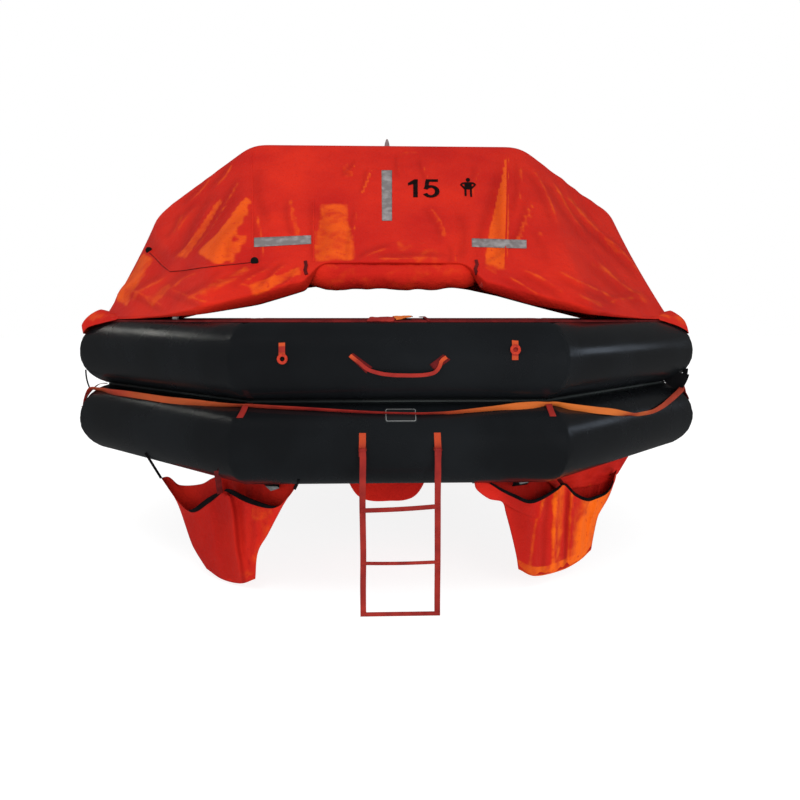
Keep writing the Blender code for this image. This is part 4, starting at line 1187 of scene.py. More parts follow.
def round_part(middle, size, start, end, steps):
    """Points of an ellipse from one angle in degrees to another."""
    angles = [math.radians(start + (end - start) * share) for share in even_shares(steps)]
    return [(middle[0] + size[0] * math.cos(a), middle[1] + size[1] * math.sin(a))
            for a in angles]


def numeral_outlines():
    """A bold plain 1 and 5 as quads; the bowl of the 5 is a ring's part."""
    one = [(0.19, 0.0), (0.33, 0.0), (0.33, 1.0), (0.23, 1.0), (0.19, 0.90)]
    flag = [(0.23, 1.0), (0.03, 0.80), (0.03, 0.66), (0.19, 0.74), (0.19, 0.90)]
    bar = [(0.58, 1.0), (0.95, 1.0), (0.95, 0.86), (0.56, 0.86)]
    stem = [(0.58, 1.0), (0.56, 0.86), (0.53, 0.46), (0.655, 0.50), (0.685, 0.86)]
    outer = round_part((0.735, 0.325), (0.265, 0.345), 152, -156, 28)
    inner = round_part((0.735, 0.325), (0.125, 0.205), 152, -156, 28)
    bowl = [[outer[i], outer[i + 1], inner[i + 1], inner[i]] for i in range(28)]
    return [one, flag, bar, stem] + bowl


def figure_outlines():
    """A plain standing figure with its hands on its hips."""
    head = round_part((0.503, 0.905), (0.128, 0.105), 0, 345, 23)
    body = [(0.287, 0.785), (0.73, 0.785), (0.74, 0.40), (0.285, 0.41)]
    left_leg = [(0.285, 0.41), (0.42, 0.41), (0.43, 0.055), (0.30, 0.055)]
    right_leg = [(0.62, 0.40), (0.74, 0.40), (0.765, 0.01), (0.65, 0.01)]
    arms = []
    for side in (-1, 1):
        upper = [(0.20, 0.785), (0.36, 0.765), (0.49, 0.65), (0.37, 0.655), (0.20, 0.70)]
        lower = [(0.49, 0.65), (0.23, 0.41), (0.19, 0.52), (0.37, 0.655)]
        for outline in (upper, lower):
            arms.append([(0.508 + side * x, y) for x, y in outline])
    return [head, body, left_leg, right_leg] + arms


for name, outlines, box in (("numerals", numeral_outlines(), NUMERALS_BOX),
                            ("standing_figure", figure_outlines(), FIGURE_BOX)):
    make_piece(name, draped_shape(name, outlines, box), INK_BLACK, crease=0)

# %% [markdown]
# ## Seams, the flap and its buttons
# The sheet is sewn from several cuts, and on the left a flap is buttoned over a window. Seams
# could be painted on, but narrow strips that follow the cloth also catch the light. The flap's
# edge is such a strip too, with a thin dark strip under it that is the flap's painted shadow,
# and buttons are turned shapes.

# %% Seams and flap
SEAMS = {
    "seam_left": [(251.5, 151.0), (252.5, 200.0), (253.0, 262.0)],
    "seam_right": [(507.5, 152.0), (507.0, 200.0), (505.5, 268.0)],
    "seam_patch": [(313.5, 199.0), (313.5, 262.0)],
}


def draped_strip(name, places, width, thick, lift, material, slot):
    points, normals = draped_line(places, 2.5, lift)
    across = []
    for i, normal in enumerate(normals):
        before, after = points[max(i - 1, 0)], points[min(i + 1, len(points) - 1)]
        across.append(normal.cross((after - before).normalized()))
    mesh = strap_mesh(name, points, across, width, thick)
    return make_piece(name, mesh, material, slot)


for name, places in SEAMS.items():
    draped_strip(name, places, 0.009, 0.0018, 0.0012, CANOPY_RED, "canopy_fabric")

FLAP_EDGE = [(150.5, 252.0), (156.0, 257.0), (163.0, 264.5), (170.5, 270.8), (184.0, 269.6),
             (200.0, 267.2), (215.0, 265.4), (235.0, 263.4), (254.0, 261.4)]
draped_strip("flap_edge", FLAP_EDGE, 0.011, 0.0030, 0.0018, CANOPY_RED, "canopy_fabric")
# A dull dark strip just under the flap's edge is its painted shadow.
shadow_line = [(column - 0.9 * (column < 165), row + 1.2) for column, row in FLAP_EDGE]
draped_strip("flap_shadow_strip", shadow_line, 0.0040, 0.0018, 0.0022, BAND_RED, None)

BUTTONS = [(149.0, 250.4), (254.6, 261.2)]
BUTTON_OFF = 0.016
BUTTON_PROFILE = [(-0.002, 0.0185), (0.0025, 0.0190), (0.0045, 0.0165), (0.0050, 0.0110),
                  (0.0040, 0.0085), (0.0038, 0.0)]
button_meshes = []
for column, row in BUTTONS:
    # The flap is slack there, so each button stands off the sheet and faces the viewer.
    place, _ = on_canopy(column, row, 0.0016)
    toward = (EYE - place).normalized()
    button_meshes.append(turned_mesh("button", BUTTON_PROFILE, place + toward * BUTTON_OFF,
                                     toward))
make_piece("flap_buttons", joined("flap_buttons", button_meshes), BUTTON_BLACK, crease=30)

# %% [markdown]
# ## The skirts over the side tubes
# At both sides the canopy's cloth comes down over the tube and ends in a loose edge. A cloth
# simulation could drape it. Here rows of places follow the tube's skin at a small, uneven
# distance, stand off it at the front corner, where the cloth is gathered, and end in a tip.

# %% Skirts
SKIRT_FROM = 6.0
SKIRT_TO = 61.0
SKIRT_TIP = 26.0
# How far the gathered cloth stands off at the front corner, by the angle from the crest.
CORNER_PUFFS = {LEFT: [(6, 0.018), (20, 0.046), (35, 0.042), (50, 0.032), (61, 0.003)],
                RIGHT: [(6, 0.016), (18, 0.038), (40, 0.022), (61, 0.002)]}
PUFF_REACH = 0.10
PAST_CORNER = 0.14


def skirt_rows(middle):
    """Rows of cloth over a side tube, from near the crest to the loose edge."""
    front = 1.0 if middle == LEFT else -1.0
    puff_angles, puff_lifts = zip(*CORNER_PUFFS[middle])

    def skin(down, along):
        share = -0.497 + (0.994 + PAST_CORNER) * along
        past = max(0.0, share - 0.497) / PAST_CORNER
        end_angle = SKIRT_TO + (SKIRT_TIP - SKIRT_TO) * past
        wave = wobble(share * 10.0, down * 1.5, middle)
        ripple = wobble(share * 28.0, down * 3.0, middle + 5.0)
        angle = SKIRT_FROM + (end_angle - SKIRT_FROM) * down * (1.0 + 0.05 * wave)
        lift = 0.0050 + 0.0105 * math.sin(math.pi * min(1.0, 0.1 + down * 0.95))
        lift += (0.005 * wave * down + 0.0035 * ripple) * min(1.0, down * 4)
        near = bell(share - 0.50, PUFF_REACH) * (1.0 - 0.75 * past)
        lift += near * float(np.interp(angle, puff_angles, puff_lifts))
        return tube_point(middle + front * share, angle, UPPER_Z, max(0.003, lift))

    rows = grid_rows(28, 160, skin)
    return rows if front > 0 else [row[::-1] for row in rows]


for name, middle in (("left", LEFT), ("right", RIGHT)):
    cloth = sheet_mesh("skirt_" + name, skirt_rows(middle))
    # Painted light turns uneven patches of the skirt orange.
    paint(cloth, "painted_light", [0.65 * max(0.0, wobble(v.co.y * 7, v.co.z * 13, 2.0) + 0.2)
                          for v in cloth.vertices])
    skirt = make_piece("skirt_" + name, cloth, CANOPY_RED, "canopy_fabric",
                       replaced=["canopy_skirt_" + name], crease=0)
    thicken(skirt, 0.0014)

# %% [markdown]
# ## The bonding strip
# A dull red strip is glued along the upper tube, and the canopy is sewn to it. A swept section
# could follow the octagon, but rows of places on the tube's skin also give its uneven edges.

# %% The bonding strip
BAND_ANGLES = (18.5, 26.5)
BAND_PER_SIDE = 60
BAND_STOP = place_of(ARCH_RADIUS + 0.008, 22.0)
for name, start, end in (("front", LEFT + BAND_STOP, RIGHT - BAND_STOP),
                         ("rear", RIGHT + BAND_STOP, LEFT + 8 - BAND_STOP)):

    def band_point(down, along):
        place = start + (end - start) * along
        edge = 0.4 * wobble(place * 6.0, down * 0.8, 3.0)
        angle = BAND_ANGLES[0] + (BAND_ANGLES[1] - BAND_ANGLES[0]) * down + edge
        return tube_point(place, angle, UPPER_Z, 0.0016 if down in (0, 1) else 0.0034)

    rows = grid_rows(4, round((end - start) * BAND_PER_SIDE), band_point)
    band = make_piece("bonding_strip_" + name, sheet_mesh("band", rows), BAND_RED,
                      "red_webbing", replaced=["canopy_band_" + name])
    thicken(band, 0.0016, -1.0)

# %% [markdown]
# ## Lifelines
# The outer lifeline is flat orange webbing that runs round the raft through eight tabs. It is
# slack: it stands off the tube, sags between the tabs and turns on its edge. A simulated strap
# would sag evenly, so its route is a list of columns and rows of the picture with a turn, and
# the sides that don't show repeat the sag. The inner lifeline is a plainer loop inside.

# %% The outer lifeline
# Column, row, distance from the skin, degrees it is turned on its edge, and how much painted light
# turns it orange.
SEEN_ROUTE = [
    (99, 389.0, 0.013, 62, 0.30), (111, 391.7, 0.013, 34, 0.12), (123, 393.3, 0.013, 12, 0.16),
    (135, 395.0, 0.013, 4, 0.32), (150, 397.3, 0.013, 4, 0.40), (165, 399.6, 0.013, 4, 0.40),
    (180, 401.2, 0.012, 12, 0.42), (195, 402.5, 0.012, 26, 0.40), (210, 404.0, 0.011, 40, 0.40),
    (225, 405.0, 0.010, 55, 0.38), (240, 405.4, 0.009, 68, 0.20), (255, 406.2, 0.010, 61, 0.10),
    (280, 407.6, 0.011, 62, 0.05), (309, 409.0, 0.011, 66, 0.0), (350, 411.5, 0.010, 68, 0.0),
    (385, 413.0, 0.010, 74, 0.0), (418, 413.7, 0.010, 74, 0.0), (438, 413.2, 0.010, 72, 0.10),
    (452, 412.7, 0.011, 64, 0.25), (476, 410.3, 0.012, 55, 0.55), (500, 407.9, 0.012, 42, 0.75),
    (520, 406.0, 0.012, 10, 0.80), (535, 405.0, 0.012, 20, 0.80), (546, 404.3, 0.010, 52, 0.75),
    (556, 404.0, 0.011, 52, 0.95), (570, 406.7, 0.013, 28, 1.0), (585, 408.7, 0.013, 24, 1.0),
    (597, 410.3, 0.014, 4, 0.90), (610, 411.6, 0.014, 0, 0.95), (622, 413.3, 0.013, 38, 0.80),
    (632, 414.3, 0.012, 66, 0.20), (641, 413.8, 0.013, 54, 0.50), (652, 411.6, 0.013, 52, 0.25),
    (660, 407.6, 0.014, 44, 0.20), (668, 401.8, 0.015, 30, 0.15),
]
# Place round the octagon, angle from the crest, distance, turn and painted orange light, where it
# rounds the side corners and stands off them.
RIGHT_CORNER = [(1.452, 45, 0.022, 12, 0.12), (1.492, 37, 0.024, 20, 0.05),
                (1.530, 48, 0.018, 40, 0.0), (1.580, 66, 0.014, 40, 0.1)]
LEFT_CORNER = [(6.420, 80, 0.014, 60, 0.1), (6.455, 62, 0.016, 62, 0.0),
               (6.490, 42, 0.020, 50, 0.1)]
HIDDEN_SAGS = [(1.58, 2.49, 50), (2.49, 3.51, 30), (3.51, 4.49, 15), (4.49, 5.51, 24),
               (5.51, 6.42, 40)]
LINE_WIDTH = 0.030
LINE_THICK = 0.0028
# In front of this depth the webbing faces the camera instead of away from the middle.
FACING_Y = -0.6


def on_tube(column, row, lift, centre_z, turned=False):
    """A place on the tube's front lengths that shows at a column and row of the picture."""
    ray = line_of_sight(column, row)
    found = []
    for side in (-1, 0, 1):
        turn = math.radians(45.0 * side - 90.0)
        outward = Vector((math.cos(turn), math.sin(turn), 0.0))
        # Each length is a cylinder, so the meeting is the nearer root of a quadratic.
        from_out, from_up = EYE.dot(outward) - APOTHEM, EYE.z - centre_z
        out = ray.dot(outward)
        a = out ** 2 + ray.z ** 2
        b = 2.0 * (from_out * out + from_up * ray.z)
        c = from_out ** 2 + from_up ** 2 - (TUBE_RADIUS + lift) ** 2
        distance = (-b - math.sqrt(max(0.0, b * b - 4 * a * c))) / (2 * a)
        point = EYE + ray * distance
        along = abs(point.dot(Vector((-outward.y, outward.x, 0.0))))
        found.append((along - point.dot(outward) * HALF_SIDE, point))
    # The right length is the one in which the meeting lies deepest between its mitres.
    return place_turned(min(found, key=lambda meeting: meeting[0])[1], turned)


def full_route():
    """Rows of x, y, z, turn and painted orange light round the whole raft."""
    route = [(*on_tube(column, row, lift, LOWER_Z), turn, orange)
             for column, row, lift, turn, orange in SEEN_ROUTE]
    places = list(RIGHT_CORNER)
    for start, end, sag in HIDDEN_SAGS:
        for i in range(1, 9):
            share = i / 8
            low = math.sin(math.pi * share)
            first, last = (70 if start < 2 else 24), (84 if end > 6 else 24)
            angle = first + (last - first) * share + sag * low * 0.5
            places.append((start + (end - start) * share, angle, 0.010 + 0.006 * low,
                           35.0 * wobble(start + share * 2.3, share * 3.0, 1.0) * low, 0.45))
    places = places[:-1] + LEFT_CORNER
    for place, angle, lift, turn, orange in places:
        route.append((*tube_point(recounted(place), angle, LOWER_Z, lift), turn, orange))
    return route


def lifeline_piece(name, route, width, thick, replaced, count):
    """Sweeps webbing along a closed route; it faces away from the raft, but for its turn."""
    curve = smooth_curve(route, count, closed=True)
    path = [Vector(spot[:3]) for spot in curve]
    across = []
    for i, spot in enumerate(curve):
        along = (path[(i + 1) % count] - path[i - 1]).normalized()
        away = Vector((spot[0], spot[1], 0.0)).normalized()
        if spot[1] < FACING_Y:
            away = (EYE - path[i]).normalized()
        upright = along.cross(away).normalized()
        turn = math.radians(spot[3])
        across.append(upright * math.cos(turn) + along.cross(upright) * math.sin(turn))
    mesh = strap_mesh(name, path, across, width, thick, loop=True)
    # Each place's painted light turns the webbing orange there; hidden sides and the inner lifeline
    # get an even share.
    paint(mesh, "painted_light", np.repeat([spot[4] for spot in curve], STRAP_POINTS))
    return make_piece(name, mesh, WEBBING_ORANGE, "orange_webbing", replaced=replaced)


lifeline_piece("lifeline_outside", full_route(), LINE_WIDTH, LINE_THICK, ["lifeline_outer"], 1100)
INSIDE_ANGLE = -67.5
inside_route = []
for i in range(64):
    place = -4.0 + 8.0 * i / 64
    angle = INSIDE_ANGLE + 3.0 * math.sin(math.pi * i / 4)
    inside_route.append((*tube_point(place, angle, UPPER_Z, 0.005), 20.0, 0.45))
lifeline_piece("lifeline_inside", inside_route, 0.024, 0.0026, ["lifeline_inner"], 512)

# %% Straps at the side corners
# Black straps go down from the upper tube to the lifeline, and at the right corner a wide one
# lies behind it. Each has its top's place and angle, its foot's place, angle and lift, and width.
CORNER_CORDS = {"left": (-1.503, 124.0, LEFT_CORNER[-1], 0.008),
                "right": (1.482, 124.0, RIGHT_CORNER[1], 0.028),
                "right_inner": (1.452, 132.0, (1.452, 32.0, 0.004), 0.112)}
for name, (place, angle, end, width) in CORNER_CORDS.items():
    top = tube_point(place, angle, UPPER_Z, 0.003)
    foot = tube_point(recounted(end[0]), end[1], LOWER_Z, end[2])
    slack = SIDEWAYS * math.copysign(0.006, place)
    path = [top.lerp(foot, share) + slack * math.sin(math.pi * share)
            for share in even_shares(12)]
    cord = strap_mesh("corner_cord", path, SIDEWAYS, width, 0.0035)
    make_piece("corner_cord_" + name, cord, WEBBING_BLACK)

# %% Tabs of the lifeline
TAB_WIDTH = 0.027
TAB_TOP = 17.0
LINE_ANGLE = 26.0
TAB_ENDS = {"front and rear": 47.0, "sides": 63.0}
TAB_SLANT = -0.012
tab_places = [(side, end) for side in range(4) for end in (-1, 1)]
for number, (side, end) in enumerate(tab_places, start=1):
    centre = recounted(2 * side + end * 0.488)
    at_side = side % 2
    slant = TAB_SLANT if end > 0 and not at_side else 0.0
    last = TAB_ENDS["sides" if at_side else "front and rear"]

    def tab_point(down, right):
        past_line = down - (LINE_ANGLE - TAB_TOP) / (last - TAB_TOP)
        lift = 0.0028 + 0.0105 * bell(past_line, 0.22)
        lift += 0.010 * math.sin(math.pi * down) * at_side
        offset = (2.0 * right - 1.0) * place_of(TAB_WIDTH / 2) + slant * down
        return tube_point(centre + offset, TAB_TOP + (last - TAB_TOP) * down, LOWER_Z, lift)

    tab = make_piece(f"lifeline_loop_{number}", sheet_mesh("tab", grid_rows(16, 6, tab_point)),
                     WEBBING_RED, "red_webbing", replaced=[f"lifeline_tab_{number}"])
    thicken(tab, 0.0024, -1.0)

# %% [markdown]
# ## The plate on the lower tube
# A small blank rubber plate with a pale border is glued on the lower tube, under the lifeline.
# A flat box wouldn't bend with the tube, so the outline of a rounded rectangle is laid on the
# tube's skin in rings. The border is a smaller outline, swept by a thin flat section.

# %% The plate
PLATE_X = (-0.062, 0.073)
PLATE_ANGLES = (31.0, 55.5)
PLATE_CORNER = 0.010
BORDER_INSET = 0.007
BORDER_LIFT = 0.0028
# Sizes of the plate's rings, from its foot to its middle, and their distance from the skin.
PLATE_RINGS = [(1.0, 0.0004), (1.0, 0.0016), (0.97, 0.0024), (0.72, 0.0026), (0.42, 0.0026),
               (0.10, 0.0026)]
plate_middle = (PLATE_X[0] + PLATE_X[1]) / 2
plate_half = (PLATE_X[1] - PLATE_X[0]) / 2
middle_angle = sum(PLATE_ANGLES) / 2
half_height = math.radians(PLATE_ANGLES[1] - PLATE_ANGLES[0]) / 2 * TUBE_RADIUS


def rounded_outline(inset, radius, per_corner=8):
    """Points of the plate's rectangle, made smaller by an inset, with round corners."""
    points = []
    for corner, (sx, sy) in enumerate(((1, 1), (-1, 1), (-1, -1), (1, -1))):
        for i in range(per_corner + 1):
            angle = math.pi / 2 * (corner + i / per_corner)
            points.append((sx * (plate_half - inset - radius) + radius * math.cos(angle),
                           sy * (half_height - inset - radius) + radius * math.sin(angle)))
    return points


def on_plate(x, y, lift):
    """A place on the plate, from metres across and up its middle."""
    angle = middle_angle - math.degrees(y / TUBE_RADIUS)
    return tube_point(place_of(plate_middle + x, angle), angle, LOWER_Z, lift)


rows = [[on_plate(x * size, y * size, lift) for x, y in rounded_outline(0.0, PLATE_CORNER)]
        for size, lift in PLATE_RINGS]
make_piece("blank_plate", closed_mesh("blank_plate", rows), PLATE_GREY, "label_rubber",
           replaced=["label_plate"], crease=35)
border = rounded_outline(BORDER_INSET, BORDER_INSET)
border_path = [on_plate(x, y, BORDER_LIFT) for x, y in border]
border_out = [(on_plate(x * 1.2, y * 1.2, BORDER_LIFT) - point).normalized()
              for (x, y), point in zip(border, border_path)]
make_piece("plate_border", strap_mesh("plate_border", border_path, border_out, 0.0028, 0.0016,
                                      loop=True), BORDER_GREY, "label_rubber")

# %% [markdown]
# ## Grab handles
# In front of each entrance a strap of webbing hangs in a bow, so that a swimmer can hold on.
# Its ends are sewn on slanting patches. The strap's route is a short list of points on a
# drawing of the front, turned round by half a turn for the rear.

# %% Grab handles
# Column and row of the picture, and the distance from the tube's skin in metres.
HANDLE_ROUTE = [(350, 355.5, 0.0045), (359, 362.5, 0.0045), (368, 369.5, 0.007),
                (380, 373.4, 0.015), (392, 375.0, 0.022), (404, 375.4, 0.026),
                (416, 375.4, 0.025), (427, 374.6, 0.018), (435, 372.2, 0.010),
                (439.6, 366.5, 0.006), (441.6, 361.0, 0.0045), (446.5, 357.0, 0.0045)]
HANDLE_PADS = {
    "left": [(348.2, 356.6), (352.8, 353.0), (372.6, 367.4), (366.2, 373.2)],
    "right": [(429.6, 364.6), (443.2, 354.4), (450.4, 359.6), (434.8, 371.2)],
}
HANDLE_WIDTH = 0.0155
HANDLE_STEPS = 60
for name, turned in ENDS:
    route = smooth_curve(HANDLE_ROUTE, HANDLE_STEPS)
    path = [on_tube(*spot, UPPER_Z, turned) for spot in route]
    outward = Vector((0.0, 1.0 if turned else -1.0, 0.0))
    across = []
    for i in range(HANDLE_STEPS + 1):
        ahead = path[min(i + 1, HANDLE_STEPS)] - path[max(i - 1, 0)]
        across.append(ahead.normalized().cross(outward))
    strap = strap_mesh("handle", path, across, HANDLE_WIDTH, 0.0026)
    # Light falls on both ends of the strap, where it lies on its pads.
    lit = [0.8 * (bell(i, 4) + bell(i - 57, 7)) for i in range(HANDLE_STEPS + 1)]
    paint(strap, "painted_light", np.repeat(lit, STRAP_POINTS))
    make_piece("handle_" + name, strap, WEBBING_RED, "red_webbing",
               replaced=["handle_strap_" + name])
    for side, corners in HANDLE_PADS.items():

        def pad_point(down, right):
            lift = 0.0008 if down in (0, 1) or right in (0, 1) else 0.0022
            return on_tube(*between(corners, 1.0 - right, down), lift, UPPER_Z, turned)

        patch = sheet_mesh("patch", grid_rows(8, 14, pad_point))
        thicken(make_piece(f"handle_pad_{name}_{side}", patch, BAND_RED, "red_webbing",
                           replaced=[f"handle_patch_{name}_{side}"]), 0.0016)

# %% [markdown]
# ## Ring tabs
# A tow line is tied to rings. Each coated ring hangs in a tab of webbing that is glued to the
# upper tube. The ring is a turned wire, a little flattened. A real tab folds round the wire,
# but only its front shows, so a strip along the tube's skin is enough.

# %% Ring tabs
RING_RADIUS = 0.0155
RING_WIRE = 0.0062
# Column of the tab, its top and bottom rows, and the ring's row.
RING_TABS = {"left": (281.8, 342.8, 355.5, 359.0), "right": (515.2, 340.6, 360.0, 349.6)}
TAB_STEPS = 16
for end_name, turned in ENDS:
    for side, (column, top, bottom, ring_row) in RING_TABS.items():
        centre = on_tube(column + 0.4, ring_row, 0.0085, UPPER_Z, turned)
        outward = Vector((0.0, 1.0 if turned else -1.0, 0.10))
        ring = ring_mesh("ring", centre, outward, RING_RADIUS, RING_WIRE)
        ring.transform(Matrix.Translation(centre) @ Matrix.Diagonal((1.0, 0.62, 1.0, 1.0))
                       @ Matrix.Translation(-centre))
        make_piece(f"ring_{end_name}_{side}", ring, RING_RED, "red_webbing")
        shares = even_shares(TAB_STEPS)
        path = [on_tube(column, top + (bottom - top) * share,
                        0.0030 + 0.0012 * math.sin(math.pi * share), UPPER_Z, turned)
                for share in shares]
        mesh = strap_mesh("fold", path, SIDEWAYS, 0.026, 0.0028)
        # Painted light makes the fold orange near its top and its foot.
        lit = [0.85 * (share < 0.3) + 0.6 * (share > 0.76) for share in shares]
        paint(mesh, "painted_light", np.repeat(lit, STRAP_POINTS))
        make_piece(f"ring_fold_{end_name}_{side}", mesh, WEBBING_RED, "red_webbing",
                   replaced=[f"ring_tab_{end_name}_{side}"])

# %% [markdown]
# ## Curtain rolls and their ties
# The entrance curtain is rolled up under the canopy's edge and tied at both ends. It is soft
# and full of air, so it is padded. A roll is drawn first and cut into even quads. The cloth
# simulation then blows it up a little, and a cap on every point's way keeps its size.

# %% Curtain rolls
ROLL_ENDS = (-0.438, 0.420)
ROLL_MIDDLE = {"front": (-1.003, 0.844), "rear": (-0.975, 0.938)}
ROLL_DEPTH = 0.050
ROLL_HALF_HEIGHT = 0.068
ROLL_LEAN = 0.20
ROLL_STEPS = 140
ROLL_SIDES = 64
VOXEL = 0.006
PRESSURE = 4.0
SLACK = 0.04
FRAMES = 20
MOVE_CAP = 0.005


def roll_mesh(name, middle_y, middle_z, seed):
    """A roll of cloth, full below, thin where the canopy lies on it, and tied at its ends."""
    rows = []
    centre_x = sum(ROLL_ENDS) / 2
    half = (ROLL_ENDS[1] - ROLL_ENDS[0]) / 2
    for i in range(ROLL_STEPS + 1):
        share = 2.0 * i / ROLL_STEPS - 1.0
        swell = 0.22 + 0.78 * (1.0 - abs(share) ** 7) ** 0.5
        lower = 0.05 * math.sin(share * 7.0 + seed) + 0.03 * math.sin(share * 17.0)
        row = []
        for j in range(ROLL_SIDES):
            angle = math.tau * j / ROLL_SIDES
            out, up = math.cos(angle), math.sin(angle)
            thin = 1.0 - 0.45 * max(0.0, up) ** 2
            bend = wobble(share * 5.0, out * 1.2, up * 1.2 + seed)
            fine = wobble(share * 13.0, out * 2.2, up * 2.2 + seed)
            crease = bell(up - 0.28 - 0.25 * share, 0.08) * (out > 0)
            size = swell * (1.0 + 0.05 * bend + 0.025 * fine - 0.05 * crease)
            size *= 1.0 + lower * max(0.0, -up)
            height = ROLL_HALF_HEIGHT * size * up + 0.010 * share ** 4
            row.append((centre_x + share * half,
                        middle_y - ROLL_DEPTH * size * thin * out + ROLL_LEAN * height,
                        middle_z + height))
        rows.append(row)
    return closed_mesh(name, rows)


def as_it_stands(soft):
    """A mesh of an object with its modifiers in it, at the present frame."""
    graph = bpy.context.evaluated_depsgraph_get()
    return bpy.data.meshes.new_from_object(soft.evaluated_get(graph))


def blown(mesh, name):
    """The same closed shape after its skin swelled as cloth; no point moves past the cap."""
    soft = bpy.data.objects.new(name, mesh)
    scene.collection.objects.link(soft)
    even = soft.modifiers.new("even", "REMESH")
    even.mode = "VOXEL"
    even.voxel_size = VOXEL
    soft.data = as_it_stands(soft)
    soft.modifiers.clear()
    start = np.array([v.co for v in soft.data.vertices])
    cloth = soft.modifiers.new("blown", "CLOTH")
    cloth.settings.use_pressure = True
    cloth.settings.uniform_pressure_force = PRESSURE
    cloth.settings.shrink_min = -SLACK
    cloth.settings.effector_weights.gravity = 0.0
    cloth.point_cache.frame_end = FRAMES
    for frame_number in range(1, FRAMES + 1):
        scene.frame_set(frame_number)
    result = as_it_stands(soft)
    scene.frame_set(1)
    moved = np.array([v.co for v in result.vertices]) - start
    reach = np.linalg.norm(moved, axis=1)
    moved *= np.minimum(1.0, MOVE_CAP / np.maximum(reach, 1e-9))[:, None]
    result.vertices.foreach_set("co", (start + moved).ravel())
    result.polygons.foreach_set("use_smooth", [True] * len(result.polygons))
    bpy.data.objects.remove(soft)
    print(name, "swelled by up to", round(1000 * float(reach.max()), 1), "mm before the cap")
    return result


for name, turned in ENDS:
    mesh = roll_mesh("curtain_" + name, *ROLL_MIDDLE[name], 1.0 if turned else 0.0)
    mesh = blown(mesh, "curtain_" + name)
    # A little uneven painted light lifts the roll's tone towards the canopy's.
    paint(mesh, "painted_light", [0.24 + 0.07 * wobble(v.co.x * 4, v.co.z * 26, 3.0)
                         for v in mesh.vertices])
    roll = make_piece("curtain_" + name, half_turned(mesh, turned), CANOPY_RED,
                      "canopy_fabric", replaced=["curtain_roll_" + name], crease=0)

# %% Ties of the curtain
# Metres out and up, from under the canopy's edge round the roll's front to its bottom.
TIE_ROUTE = [(-0.960, 0.932), (-1.010, 0.905), (-1.048, 0.872), (-1.085, 0.842),
             (-1.132, 0.810), (-1.130, 0.788)]
TIE_COLUMNS = {-1: -0.436, 1: 0.414}
TIE_STEPS = 30
TIE_WIDTH = 0.016
# Where the ties come out on the canopy, as columns and rows.
SEEN_TIES = {"left": [(305.5, 261.5), (306.2, 266.0), (305.2, 270.5), (306.6, 275.0)],
             "right": [(476.0, 260.5), (477.2, 265.0), (475.4, 269.5), (476.8, 274.5)]}
for name, places in SEEN_TIES.items():
    draped_strip("seen_tie_" + name, places, TIE_WIDTH, 0.0030, 0.0040, BAND_RED, "red_webbing")
# Each tie is twisted halfway down, where its knot is.
twists = [math.radians(75.0 * bell(i - 15, 3.5)) for i in range(TIE_STEPS + 1)]
across = [Vector((math.cos(turn), -math.sin(turn), 0.2 * math.sin(turn))) for turn in twists]
for name, turned in ENDS:
    inward, raised = np.subtract(ROLL_MIDDLE[name], ROLL_MIDDLE["front"])
    meshes = []
    for side, x in TIE_COLUMNS.items():
        route = [(x + side * 0.006 * math.sin(2.0 * k), y + inward, z + raised)
                 for k, (y, z) in enumerate(TIE_ROUTE)]
        meshes.append(strap_mesh("tie", smooth_curve(route, TIE_STEPS), across, TIE_WIDTH, 0.0024))
    make_piece("curtain_ties_" + name, half_turned(joined("curtain_ties_" + name, meshes), turned),
               WEBBING_RED, "red_webbing")

# %% [markdown]
# ## The lamp and the bundle in the entrance
# A small cone lamp stands on top of the arch, and it is a turned profile. In the entrance a
# bundle of folded webbing with a white knot lies on the crest of the tube. It could be one
# tangled strap, but only a few pixels of it show, so three patches bent over the crest do.

# %% The lamp
lamp_low, lamp_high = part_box("arch_light")
LAMP_PROFILE = [(0.0, 0.0215), (0.0110, 0.0220), (0.0130, 0.0200), (0.0160, 0.0165),
                (0.0280, 0.0150), (0.0420, 0.0118), (0.0550, 0.0080), (0.0620, 0.0045),
                (0.0630, 0.0)]
make_piece("cone_lamp", turned_mesh("cone_lamp", LAMP_PROFILE, (0.0, 0.0, lamp_low.z), ZED),
           LAMP_GREY, "lamp_plastic", replaced=["arch_light"], crease=35)

# %% The bundle in the entrance
# Corners in metres across and degrees from the crest, and the lift of each patch.
BUNDLE = {
    "bundle_red": ([(-0.120, 9), (-0.010, 3), (-0.020, 26), (-0.134, 26)], 0.005,
                   WEBBING_RED, "red_webbing"),
    "bundle_orange": ([(-0.024, 4), (0.066, -12), (0.052, 12), (-0.010, 25)], 0.008,
                      WEBBING_ORANGE, "orange_webbing"),
    "bundle_end": ([(0.090, -6), (0.104, -6), (0.131, 26), (0.120, 26)], 0.005,
                   BAND_RED, "red_webbing"),
}
for name, (corners, lift, material, slot) in BUNDLE.items():

    def crest_point(down, right):
        x, angle = between(corners, down, right)
        rise = lift + 0.003 * wobble(x * 40, angle * 0.15, 2.0)
        return tube_point(place_of(x, angle), angle, UPPER_Z, max(0.003, rise))

    mesh = sheet_mesh(name, grid_rows(8, 24, crest_point))
    # The orange patch is painted nine tenths of the way to the orange webbing's lit colour.
    paint(mesh, "painted_light", np.full(len(mesh.vertices), 0.9 if material is WEBBING_ORANGE else 0.0))
    thicken(make_piece(name, mesh, material, slot), 0.003)
knot = [tube_point(-0.975 + 0.006 * i, 12.0 + 3 * math.sin(i * 1.7), UPPER_Z,
                   0.004 + 0.003 * (i % 2)) for i in range(5)]
make_piece("white_knot", strap_mesh("white_knot", knot, ZED, 0.012, 0.006), WHITE_LINE)
